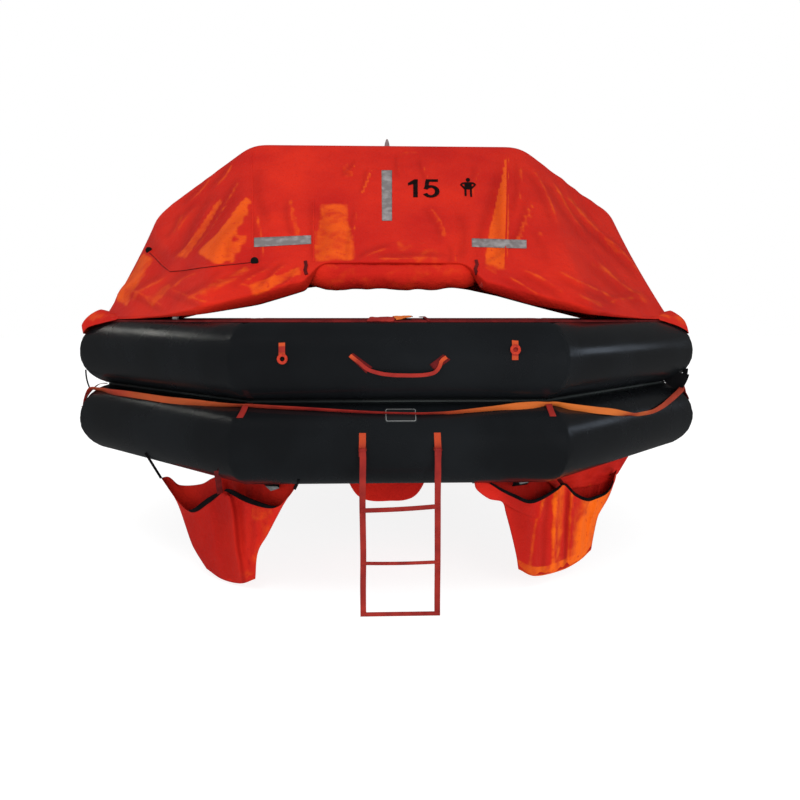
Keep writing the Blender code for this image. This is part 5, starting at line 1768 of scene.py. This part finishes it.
# A black strip lies on the crest under each end of the canopy, so the narrow gap there shows dark:
# painted shade.
for name, start, end in (("left", -1.33, -1.0), ("right", 0.96, 1.12)):
    path = [tube_point(start + (end - start) * share, -6.0, UPPER_Z, 0.008)
            for share in even_shares(20)]
    make_piece("dark_gap_strip_" + name, strap_mesh("dark_gap_strip", path, ZED, 0.022, 0.004), WEBBING_BLACK)

# %% [markdown]
# ## Boarding ladders
# The ladders are webbing with three rungs, and each hangs in two loops that are glued to the
# lower tube. Straight boxes would look stiff, so the rails are swept webbing that sways and
# twists a little, and the upper rung hangs askew. Each rail goes round the pin it swings on.

# %% Boarding ladders
ladder_low, ladder_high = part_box("ladder_front")
HINGE = Vector(frame["joints"][0]["pos_m"])
RAIL_X = 0.151
# Heights of each rung's left and right end, and its own height.
RUNGS = [(-0.128, -0.113, 0.018), (-0.338, -0.336, 0.013),
         (ladder_low.z + 0.008, ladder_low.z + 0.008, 0.016)]
RAIL_THICK = 0.0045
RAIL_STEPS = 60
RUNG_STEPS = 30
EYE_STEPS = 14
EYE_RADIUS = 0.0078


def round_hinge(x, radius, start, sweep, steps):
    """Points of a bend round the hinge line, from one angle on."""
    angles = [math.radians(start + sweep * share) for share in even_shares(steps)]
    return [Vector((x, HINGE.y + radius * math.sin(a), HINGE.z + radius * math.cos(a)))
            for a in angles]


def rail_mesh(side):
    """A rail of webbing: an eye round the pin, then a strap that isn't quite straight."""
    path = round_hinge(side * RAIL_X, EYE_RADIUS, 60.0, 250.0, EYE_STEPS)
    widths, across = [0.024] * len(path), [SIDEWAYS] * len(path)
    top = HINGE.z - 0.014
    for down in even_shares(RAIL_STEPS):
        z = top + (ladder_low.z - top) * down
        sway = 0.0028 * wobble(side * 3.0, z * 5.0, 1.0) + side * -0.003 * down
        twist = 0.35 * wobble(side * 7.0, z * 6.0, 4.0)
        pinch = 0.22 * bell(z - 0.060, 0.02) * (side > 0)
        path.append(Vector((side * RAIL_X + sway, HINGE.y + 0.0015 * wobble(z * 8, side), z)))
        widths.append(0.0262 - 0.003 * down - 0.004 * pinch)
        across.append(Vector((math.cos(twist), math.sin(twist), 0.0)))
    # The first two places after the eye are drawn along a straight way out of it.
    end, hanging = path[EYE_STEPS], path[EYE_STEPS + 3]
    path[EYE_STEPS + 1:EYE_STEPS + 3] = [end.lerp(hanging, 0.4), end.lerp(hanging, 0.75)]
    return strap_mesh("rail", path, across, widths, RAIL_THICK)


def rung_mesh(left_z, right_z, height):
    """A rung between the rails that sags a little."""
    path = []
    for share in even_shares(RUNG_STEPS):
        x = -RAIL_X - 0.008 + (2 * RAIL_X + 0.016) * share
        z = left_z + (right_z - left_z) * share - 0.003 * math.sin(math.pi * share)
        path.append(Vector((x, HINGE.y - 0.0010, max(z, ladder_low.z + height / 2))))
    return strap_mesh("rung", path, ZED, height, 0.0095)


for name, body, turned in (("front", "front_ladder", False), ("rear", "rear_ladder", True)):
    meshes = [rail_mesh(side) for side in (-1, 1)] + [rung_mesh(*rung) for rung in RUNGS]
    mesh = half_turned(joined("webbing_ladder_" + name, meshes), turned)
    make_piece("webbing_ladder_" + name, mesh, WEBBING_RED, "red_webbing", body=body,
               replaced=["ladder_" + name], crease=35)

# %% Loops that hold the ladders
PIN_HALF = 0.0125
PIN_PROFILE = [(-PIN_HALF, 0.0), (-PIN_HALF, 0.0036), (PIN_HALF, 0.0036), (PIN_HALF, 0.0)]
PAD_WIDTH = 0.0275
LOOP_RADIUS = 0.0058
LOOP_APART = 0.0145
SKIN_Y = -(APOTHEM + TUBE_RADIUS) - 0.0035
for name, turned in ENDS:
    for side_name, side in (("left", -1), ("right", 1)):
        x = side * RAIL_X * (-1 if turned else 1)
        strips = []
        for strip_x in (x - LOOP_APART, x + LOOP_APART):
            loop = [Vector((strip_x, SKIN_Y, HINGE.z + 0.004)),
                    *round_hinge(strip_x, LOOP_RADIUS, -110.0, -250.0, 12),
                    Vector((strip_x, SKIN_Y, HINGE.z - 0.004))]
            strips.append(strap_mesh("loop", loop, SIDEWAYS, 0.0024, 0.0018))

        def pad_point(down, right):
            angle = 69.5 + 30.0 * down
            edge = 0.0 if down in (0, 1) or right in (0, 1) else 0.0012
            lift = 0.0018 + edge + 0.010 * smooth_step(down, 0.25, 0.75)
            offset = (right - 0.5) * PAD_WIDTH
            return tube_point(place_of(x + offset, angle), angle, LOWER_Z, lift)

        pad = mended(sheet_mesh("pad", grid_rows(18, 8, pad_point)), wall=0.0016)
        pin = turned_mesh("pin", PIN_PROFILE, (x, HINGE.y, HINGE.z), SIDEWAYS, 20)
        loops = joined("ladder_loop", strips + [pad])
        # Painted light turns the upper part of the loops and the pad orange.
        paint(loops, "painted_light", [0.6 * smooth_step(v.co.z, 0.10, 0.15) for v in loops.vertices])
        make_piece(f"ladder_loop_{name}_{side_name}", half_turned(loops, turned), WEBBING_RED,
                   "red_webbing", replaced=[f"ladder_anchor_{name}_{side_name}"], crease=35)
        make_piece(f"ladder_pin_{name}_{side_name}", half_turned(pin, turned), STEEL,
                   "cylinder_metal")

# %% [markdown]
# ## Water pockets
# Four cloth bags hang under the raft and fill with water, which keeps it from tipping. Each is
# a flat bag, sewn at its sides and bottom and held open at its rim by straps. Its front and
# back are made from four edges each: left, right, rim and bottom. Between the edges the cloth
# bulges and falls in folds from the straps. The two front bags have the outlines of the
# picture, and the rear ones repeat them.

# %% Outlines of the pockets
# Metres along the bag's own width and up, from the middle of its mouth. A fold is its place at
# the rim and at the bottom, its width and its height. A lit streak of painted light and a dark
# streak of painted shade are the same with strength. The lit hem is painted light along the
# bottom, and inside is the even painted shade of the back panel.
POCKET_OUTLINES = {
    "left": {
        "left": [(-0.475, -0.155), (-0.416, -0.202), (-0.347, -0.276), (-0.265, -0.426),
                 (-0.224, -0.479), (-0.152, -0.545)],
        "right": [(0.410, -0.072), (0.377, -0.112), (0.325, -0.180), (0.238, -0.317),
                  (0.178, -0.408), (0.160, -0.532)],
        "bottom": [(-0.152, -0.545), (-0.050, -0.574), (0.070, -0.570), (0.160, -0.532)],
        "front": [(-0.345, -0.260), (-0.252, -0.290), (-0.140, -0.225), (-0.040, -0.167),
                  (0.010, -0.164), (0.129, -0.190), (0.273, -0.196), (0.354, -0.140)],
        "back": [(-0.416, -0.143), (-0.336, -0.172), (-0.189, -0.149), (-0.092, -0.104),
                 (0.067, -0.070), (0.250, -0.060)],
        "folds": [(-0.02, 0.075, 0.026, 0.022), (0.10, 0.10, 0.018, 0.006),
                  (-0.16, -0.05, 0.030, 0.006), (0.20, 0.13, 0.016, 0.006)],
        "lit": [(0.24, 0.16, 0.11, 0.32)],
        "dark": [(-0.30, -0.10, 0.20, 0.45), (-0.12, 0.00, 0.10, 0.45), (0.005, 0.09, 0.018, 0.6)],
        "inside": 0.0,
        "bulge": 0.045,
    },
    "right": {
        "left": [(-0.543, -0.056), (-0.526, -0.090), (-0.454, -0.139), (-0.375, -0.165),
                 (-0.350, -0.221), (-0.312, -0.329), (-0.286, -0.414), (-0.270, -0.481)],
        "right": [(0.455, -0.130), (0.438, -0.184), (0.388, -0.237), (0.356, -0.273),
                  (0.300, -0.340), (0.268, -0.421), (0.245, -0.495)],
        "bottom": [(-0.270, -0.481), (-0.161, -0.535), (0.020, -0.548), (0.153, -0.530),
                   (0.245, -0.495)],
        "front": [(-0.460, -0.070), (-0.375, -0.116), (-0.293, -0.155), (-0.201, -0.194),
                  (-0.114, -0.191), (-0.009, -0.165), (0.046, -0.149), (0.123, -0.208),
                  (0.206, -0.245), (0.268, -0.249), (0.388, -0.227)],
        "back": [(-0.448, -0.052), (-0.293, -0.070), (-0.127, -0.093), (0.056, -0.127),
                 (0.175, -0.153), (0.300, -0.158), (0.400, -0.145)],
        "folds": [(-0.10, -0.17, 0.022, 0.010), (-0.01, -0.03, 0.022, 0.014),
                  (0.07, 0.06, 0.018, -0.012), (0.20, 0.16, 0.022, 0.010),
                  (-0.20, -0.22, 0.030, 0.006), (0.30, 0.20, 0.014, 0.010)],
        "lit": [(0.30, 0.17, 0.13, 0.85), (-0.02, -0.04, 0.022, 0.62), (0.03, 0.00, 0.040, 0.50),
                (-0.10, -0.21, 0.020, 0.55), (0.10, 0.07, 0.018, 0.60)],
        "dark": [(-0.27, -0.24, 0.11, 0.45), (-0.07, -0.11, 0.025, 0.4), (0.075, 0.045, 0.014, 0.5)],
        "hem": 0.55,
        "inside": 0.35,
        "bulge": 0.045,
        "flap": [(-0.13, -0.070), (0.14, -0.055), (0.38, -0.035), (0.600, -0.030),
                 (0.462, -0.150), (0.37, -0.178), (0.22, -0.182), (0.00, -0.172)],
    },
}
POCKET_SIDES = {"left": -1, "right": 1}
POCKET_CENTRE = (0.765, 1.20)
POCKET_LEAN = math.radians(35.0)
RIM_STEPS = 72


def streaks(lines, x, v):
    """The strongest of several soft streaks that run from rim to bottom."""
    return max([strength * bell(x - top_x - (low_x - top_x) * v, width)
                for top_x, low_x, width, strength in lines], default=0.0)


def bag_side(outline, rim, sign, along, down):
    """One side of a bag as rows of (width, height, depth, lit, dark), from its four edges."""
    left, right = (smooth_curve(outline[edge], down) for edge in ("left", "right"))
    top = smooth_curve([outline["left"][0]] + rim + [outline["right"][0]], along)
    bottom = smooth_curve(outline["bottom"], along)
    corners = (left[0], right[0], right[-1], left[-1])
    rows = []
    for i in range(down + 1):
        v = i / down
        row = []
        for j in range(along + 1):
            u = j / along
            sides = left[i] * (1 - u) + right[i] * u
            ends = top[j] * (1 - v) + bottom[j] * v
            x, z = sides + ends - between(corners, v, u)
            round_in = math.sqrt(max(0.0, 1.0 - (2 * u - 1) ** 2))
            deep = outline["bulge"] * round_in * (0.30 + 0.70 * (1 - v) ** 0.8)
            deep *= (1.0 - 0.75 * v ** 6) * (1.0 - smooth_step(v, 0.9, 1.0) * 0.9)
            fold = 0.0
            for top_x, low_x, width, height in outline["folds"]:
                away = (x - top_x - (low_x - top_x) * v) / width
                fold += height * (bell(away, 1.0) - 0.5 * bell(away - 1.9, 1.0))
            fold *= round_in * smooth_step(v, 0.0, 0.12)
            fold += 0.004 * wobble(x * 14, z * 11, sign * 3.0) * round_in
            fold *= 1.0 - v ** 8
            lit = streaks(outline["lit"], x, v)
            # Along the bottom hem the cloth takes painted light.
            if v > 0.90:
                lit = max(lit, outline.get("hem", 0.0) * (1.2 + wobble(x * 20, 1.0)))
            dark = streaks(outline["dark"], x, v)
            # The back panel's inner face takes an even painted shade and no painted light.
            if sign < 0:
                z += 0.006 * v ** 4
                lit, dark = 0.0, outline["inside"]
            row.append((x, z, sign * (deep + fold), lit, dark))
        rows.append(row)
    return rows


def pocket_middle(side):
    """The middle of a bag's mouth, and the directions along its width and outwards."""
    lean = POCKET_LEAN * side
    return (Vector((side * POCKET_CENTRE[0], -POCKET_CENTRE[1], 0.0)),
            Vector((math.cos(lean), math.sin(lean), 0.0)),
            Vector((math.sin(lean), -math.cos(lean), 0.0)))


def pocket_placer(side, turned):
    """Turns a bag's own width, height and depth into a place under the raft."""
    centre, along, outward = pocket_middle(side)

    def place(x, z, depth):
        # Depth goes along the line of sight, so the outlines stay where the picture has them.
        point = centre + along * x + ZED * z
        sight = (EYE - point).normalized()
        return place_turned(point + sight * depth / sight.dot(outward), turned)

    return place


print("outlines of pockets:", ", ".join(POCKET_OUTLINES))

# %% The pockets
CAD_POCKETS = {("left", False): "front_left", ("right", False): "front_right",
               ("left", True): "rear_right", ("right", True): "rear_left"}
pocket_rims = {}
for (side_name, turned), node_name in CAD_POCKETS.items():
    outline = POCKET_OUTLINES[side_name]
    place = pocket_placer(POCKET_SIDES[side_name], turned)
    meshes = []
    for rim, sign in (("front", 1), ("back", -1)):
        rows = [row[::sign] for row in bag_side(outline, outline[rim], sign, RIM_STEPS, 52)]
        points = [[place(*spot[:3]) for spot in row] for row in rows]
        mesh = sheet_mesh("bag", points)
        paint(mesh, "painted_light", [[spot[3] for spot in row] for row in rows])
        paint(mesh, "shadow", [[spot[4] for spot in row] for row in rows])
        meshes.append(mesh)
        if rim == "front":
            pocket_rims[node_name] = (points[0], side_name)
    if "flap" in outline:
        # Above the mouth the cloth goes on up to the tube, crumpled.
        over = smooth_curve(outline["flap"][:4], 30)
        under = smooth_curve(outline["flap"][:3:-1], 30)
        points = []
        for down in even_shares(12):
            flat = [top * (1 - down) + low * down for top, low in zip(over, under)]
            points.append([place(x, z, -0.03 + 0.018 * wobble(x * 11, z * 26, 8.0))
                           for x, z in flat])
        mesh = sheet_mesh("flap", points)
        # Painted light turns uneven patches of the flap orange.
        paint(mesh, "painted_light", [0.02 + 0.45 * wobble(v.co.x * 20, v.co.z * 30)
                             for v in mesh.vertices])
        paint(mesh, "shadow", np.zeros(len(mesh.vertices)))
        meshes.append(mesh)
    whole = mended(joined("pocket_cloth_" + node_name, meshes), weld=0.0005, outward=False)
    pocket = make_piece("pocket_cloth_" + node_name, whole, POCKET_RED, "pocket_fabric",
                        replaced=["water_pocket_" + node_name], crease=0)
    thicken(pocket, 0.0016, -1.0)

# %% Straps of the pockets
# Rim straps run from one share of the rim to another. A hanger is its share of the rim, the
# column and row at which it meets the tube or the metres it goes inwards, its width and material.
RIM_SPANS = {"left": [(0.20, 0.44), (0.46, 0.80)], "right": [(0.10, 0.58), (0.58, 0.97)]}
HANGERS = {
    "left": [(0.0, (145.5, 453.0), 0.012, WEBBING_BLACK), (0.43, (217.0, 471.0), 0.026, BAND_RED),
             (0.97, (298.5, 480.5), 0.014, WEBBING_BLACK)],
    "right": [(0.0, 0.03, 0.014, WEBBING_BLACK), (0.58, 0.10, 0.018, BAND_RED)],
}
# Corners of the stiff tabs in the mouths, as columns and rows: black cloth, and a pale patch on it
# that is a painted glint.
POCKET_TABS = {
    "left": [([(262, 483), (279, 484.5), (279.5, 488.5), (268, 487.5)], WEBBING_BLACK),
             ([(265.5, 486), (277, 486.2), (279.5, 488.2), (271, 491)], BORDER_GREY)],
    "right": [([(514, 480.5), (531, 479.5), (527, 484.5), (512, 486.5)], WEBBING_BLACK),
              ([(519, 482.4), (530, 481), (528, 482.6), (520, 484.2)], BORDER_GREY)],
}


def in_mouth(side, column, row, depth, turned):
    """The place in a bag's middle plane that shows at a column and row of the picture."""
    centre, _, outward = pocket_middle(side)
    ray = line_of_sight(column, row)
    distance = (centre - EYE).dot(outward) / ray.dot(outward)
    return place_turned(EYE + ray * (distance - depth), turned)


for node_name, (rim, side_name) in pocket_rims.items():
    meshes = []
    for start, end in RIM_SPANS[side_name]:
        span = rim[int(start * RIM_STEPS):int(end * RIM_STEPS) + 1]
        path = [point + ZED * 0.004 for point in span]
        least, more = (0.005, 0.020) if side_name == "left" else (0.008, 0.008)
        widths = [least + more * math.sin(math.pi * i / (len(path) - 1)) ** 0.7
                  for i in range(len(path))]
        meshes.append(strap_mesh("rim_strap", path, ZED, widths, 0.0050))
    make_piece("pocket_rim_" + node_name, joined("pocket_rim", meshes), WEBBING_BLACK, crease=35)
    turned = node_name.startswith("rear")
    for number, (share, reach, width, material) in enumerate(HANGERS[side_name]):
        foot = rim[int(share * RIM_STEPS)]
        if isinstance(reach, tuple):
            head = on_tube(*reach, 0.004, LOWER_Z, turned)
        else:
            head = foot - Vector((foot.x, foot.y, 0.0)).normalized() * reach
            head.z = LOWER_Z - TUBE_RADIUS + 0.010
        path = [foot.lerp(head, share) for share in even_shares(10)]
        # Its width lies across the line of sight, so it doesn't show edge-on.
        across = (head - foot).cross(place_turned(EYE, turned) - foot)
        slot = "red_webbing" if material is BAND_RED else None
        make_piece(f"pocket_hanger_{node_name}_{number}",
                   strap_mesh("hanger", path, across, width, 0.003), material, slot)
    for number, (corners, material) in enumerate(POCKET_TABS[side_name]):
        a, b, c, d = (in_mouth(POCKET_SIDES[side_name], *corner, 0.004 * number, turned)
                      for corner in corners)
        tab = make_piece(f"pocket_tab_{node_name}_{number}",
                         sheet_mesh("pocket_tab", [[a, b], [d, c]]), material)
        thicken(tab, 0.002)

# %% [markdown]
# ## The gas cylinder and its sling
# The cylinder that blows the raft up hangs under the floor in a cloth sling. The cylinder and
# its valve are round, so they are turned from profiles. The sling could be simulated, but it
# hangs tight, so a formula bends its sheet round the cylinder in a bow.

# %% Gas cylinder and sling
cyl_low, cyl_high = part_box("gas_cylinder")
cyl_radius = (cyl_high.z - cyl_low.z) / 2
cyl_centre = Vector(((cyl_low.x + cyl_high.x) / 2, cyl_low.y, (cyl_low.z + cyl_high.z) / 2))
valve_low, valve_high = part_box("cylinder_valve")
VALVE_RADIUS = 0.02
BACKWARDS = Vector((0.0, 1.0, 0.0))
# Shares of the length and of the radius.
CYLINDER_PROFILE = [(0.0, 0.0), (0.0, 0.38), (0.012, 0.62), (0.030, 0.84), (0.055, 0.97),
                    (0.075, 1.0), (0.50, 1.0), (0.515, 0.985), (0.53, 1.0), (0.90, 1.0),
                    (0.935, 0.95), (0.965, 0.78), (0.985, 0.52), (0.995, 0.34), (1.0, 0.32),
                    (1.0, 0.0)]
VALVE_PROFILE = [(0.0, 0.0), (0.0, 0.75), (0.12, 0.75), (0.14, 0.98), (0.34, 0.98), (0.36, 0.6),
                 (0.50, 0.6), (0.52, 0.85), (0.80, 0.85), (0.83, 0.55), (1.0, 0.5), (1.0, 0.0)]


def scaled(profile, length, radius):
    return [(share * length, size * radius) for share, size in profile]


make_piece("painted_cylinder",
           turned_mesh("painted_cylinder",
                       scaled(CYLINDER_PROFILE, cyl_high.y - cyl_low.y, cyl_radius),
                       cyl_centre, BACKWARDS, 48),
           PAINT_GREY, "cylinder_metal", replaced=["gas_cylinder"], crease=35)
make_piece("brass_valve",
           turned_mesh("brass_valve",
                       scaled(VALVE_PROFILE, valve_high.y - valve_low.y, VALVE_RADIUS),
                       (cyl_centre.x, valve_low.y, cyl_centre.z), BACKWARDS, 36),
           BRASS, "valve_brass", replaced=["cylinder_valve"], crease=30)

# The sling is a pouch: its cloth comes up in front of the cylinder.
sling_low, sling_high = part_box("cylinder_sling")
SLING_FRONT = cyl_low.y - 0.020
FRONT_SHARE = 0.12
sling_half = (sling_high.x - sling_low.x) / 2
sling_middle = (sling_high.x + sling_low.x) / 2
sling_top = LOWER_Z - TUBE_RADIUS - 0.002
sling_depth = sling_top - sling_low.z - 0.001


def sling_point(along, right):
    """A place of the sling, from its front edge to its rear and from left to right."""
    back = max(0.0, along - FRONT_SHARE) / (1.0 - FRONT_SHARE)
    y = SLING_FRONT + (sling_high.y - 0.002 - SLING_FRONT) * back
    front = smooth_step(along, 0.0, FRONT_SHARE)
    share = 2.0 * right - 1.0
    bow = (1.0 - abs(share) ** 4.5) * front ** 0.5
    x = sling_middle + sling_half * 1.08 * share
    z = sling_top - sling_depth * bow * (1.0 - 0.04 * (2 * along - 1) ** 2)
    z += 0.0025 * wobble(x * 16, y * 10) * bow
    return x, y + 0.010 * (1 - front), z


sling_mesh = sheet_mesh("sling_cloth", grid_rows(60, 72, sling_point)[::-1])
# Painted light turns uneven patches of the sling orange.
paint(sling_mesh, "painted_light", [0.3 * max(0.0, wobble(v.co.x * 20, v.co.y * 4))
                           for v in sling_mesh.vertices])
sling = make_piece("sling_cloth", sling_mesh, POCKET_RED, "pocket_fabric",
                   replaced=["cylinder_sling"], crease=0)
thicken(sling, 0.0022)

# %% The righting strap
STRAP_STEPS = 140
strap_low, strap_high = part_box("righting_strap")
path, across = [], []
for share in even_shares(STRAP_STEPS):
    hang = 0.0006 + 0.0015 * (0.5 + 0.5 * math.sin(share * 37.0))
    path.append(Vector((strap_low.x + (strap_high.x - strap_low.x) * share, 0.0,
                        strap_high.z - 0.0013 - hang)))
    across.append(Vector((0.0, 1.0, 0.02 * math.sin(share * 23.0))))
make_piece("underside_strap", strap_mesh("underside_strap", path, across, 0.040, 0.0022),
           WEBBING_RED, "red_webbing", replaced=["righting_strap"])

# %% [markdown]
# ## Sizes
# The dressed raft has to keep the model's size, so the model's box is printed.

# %% Sizes
print("cad box:", [tuple(round(v, 4) for v in c) for c in cad_box])
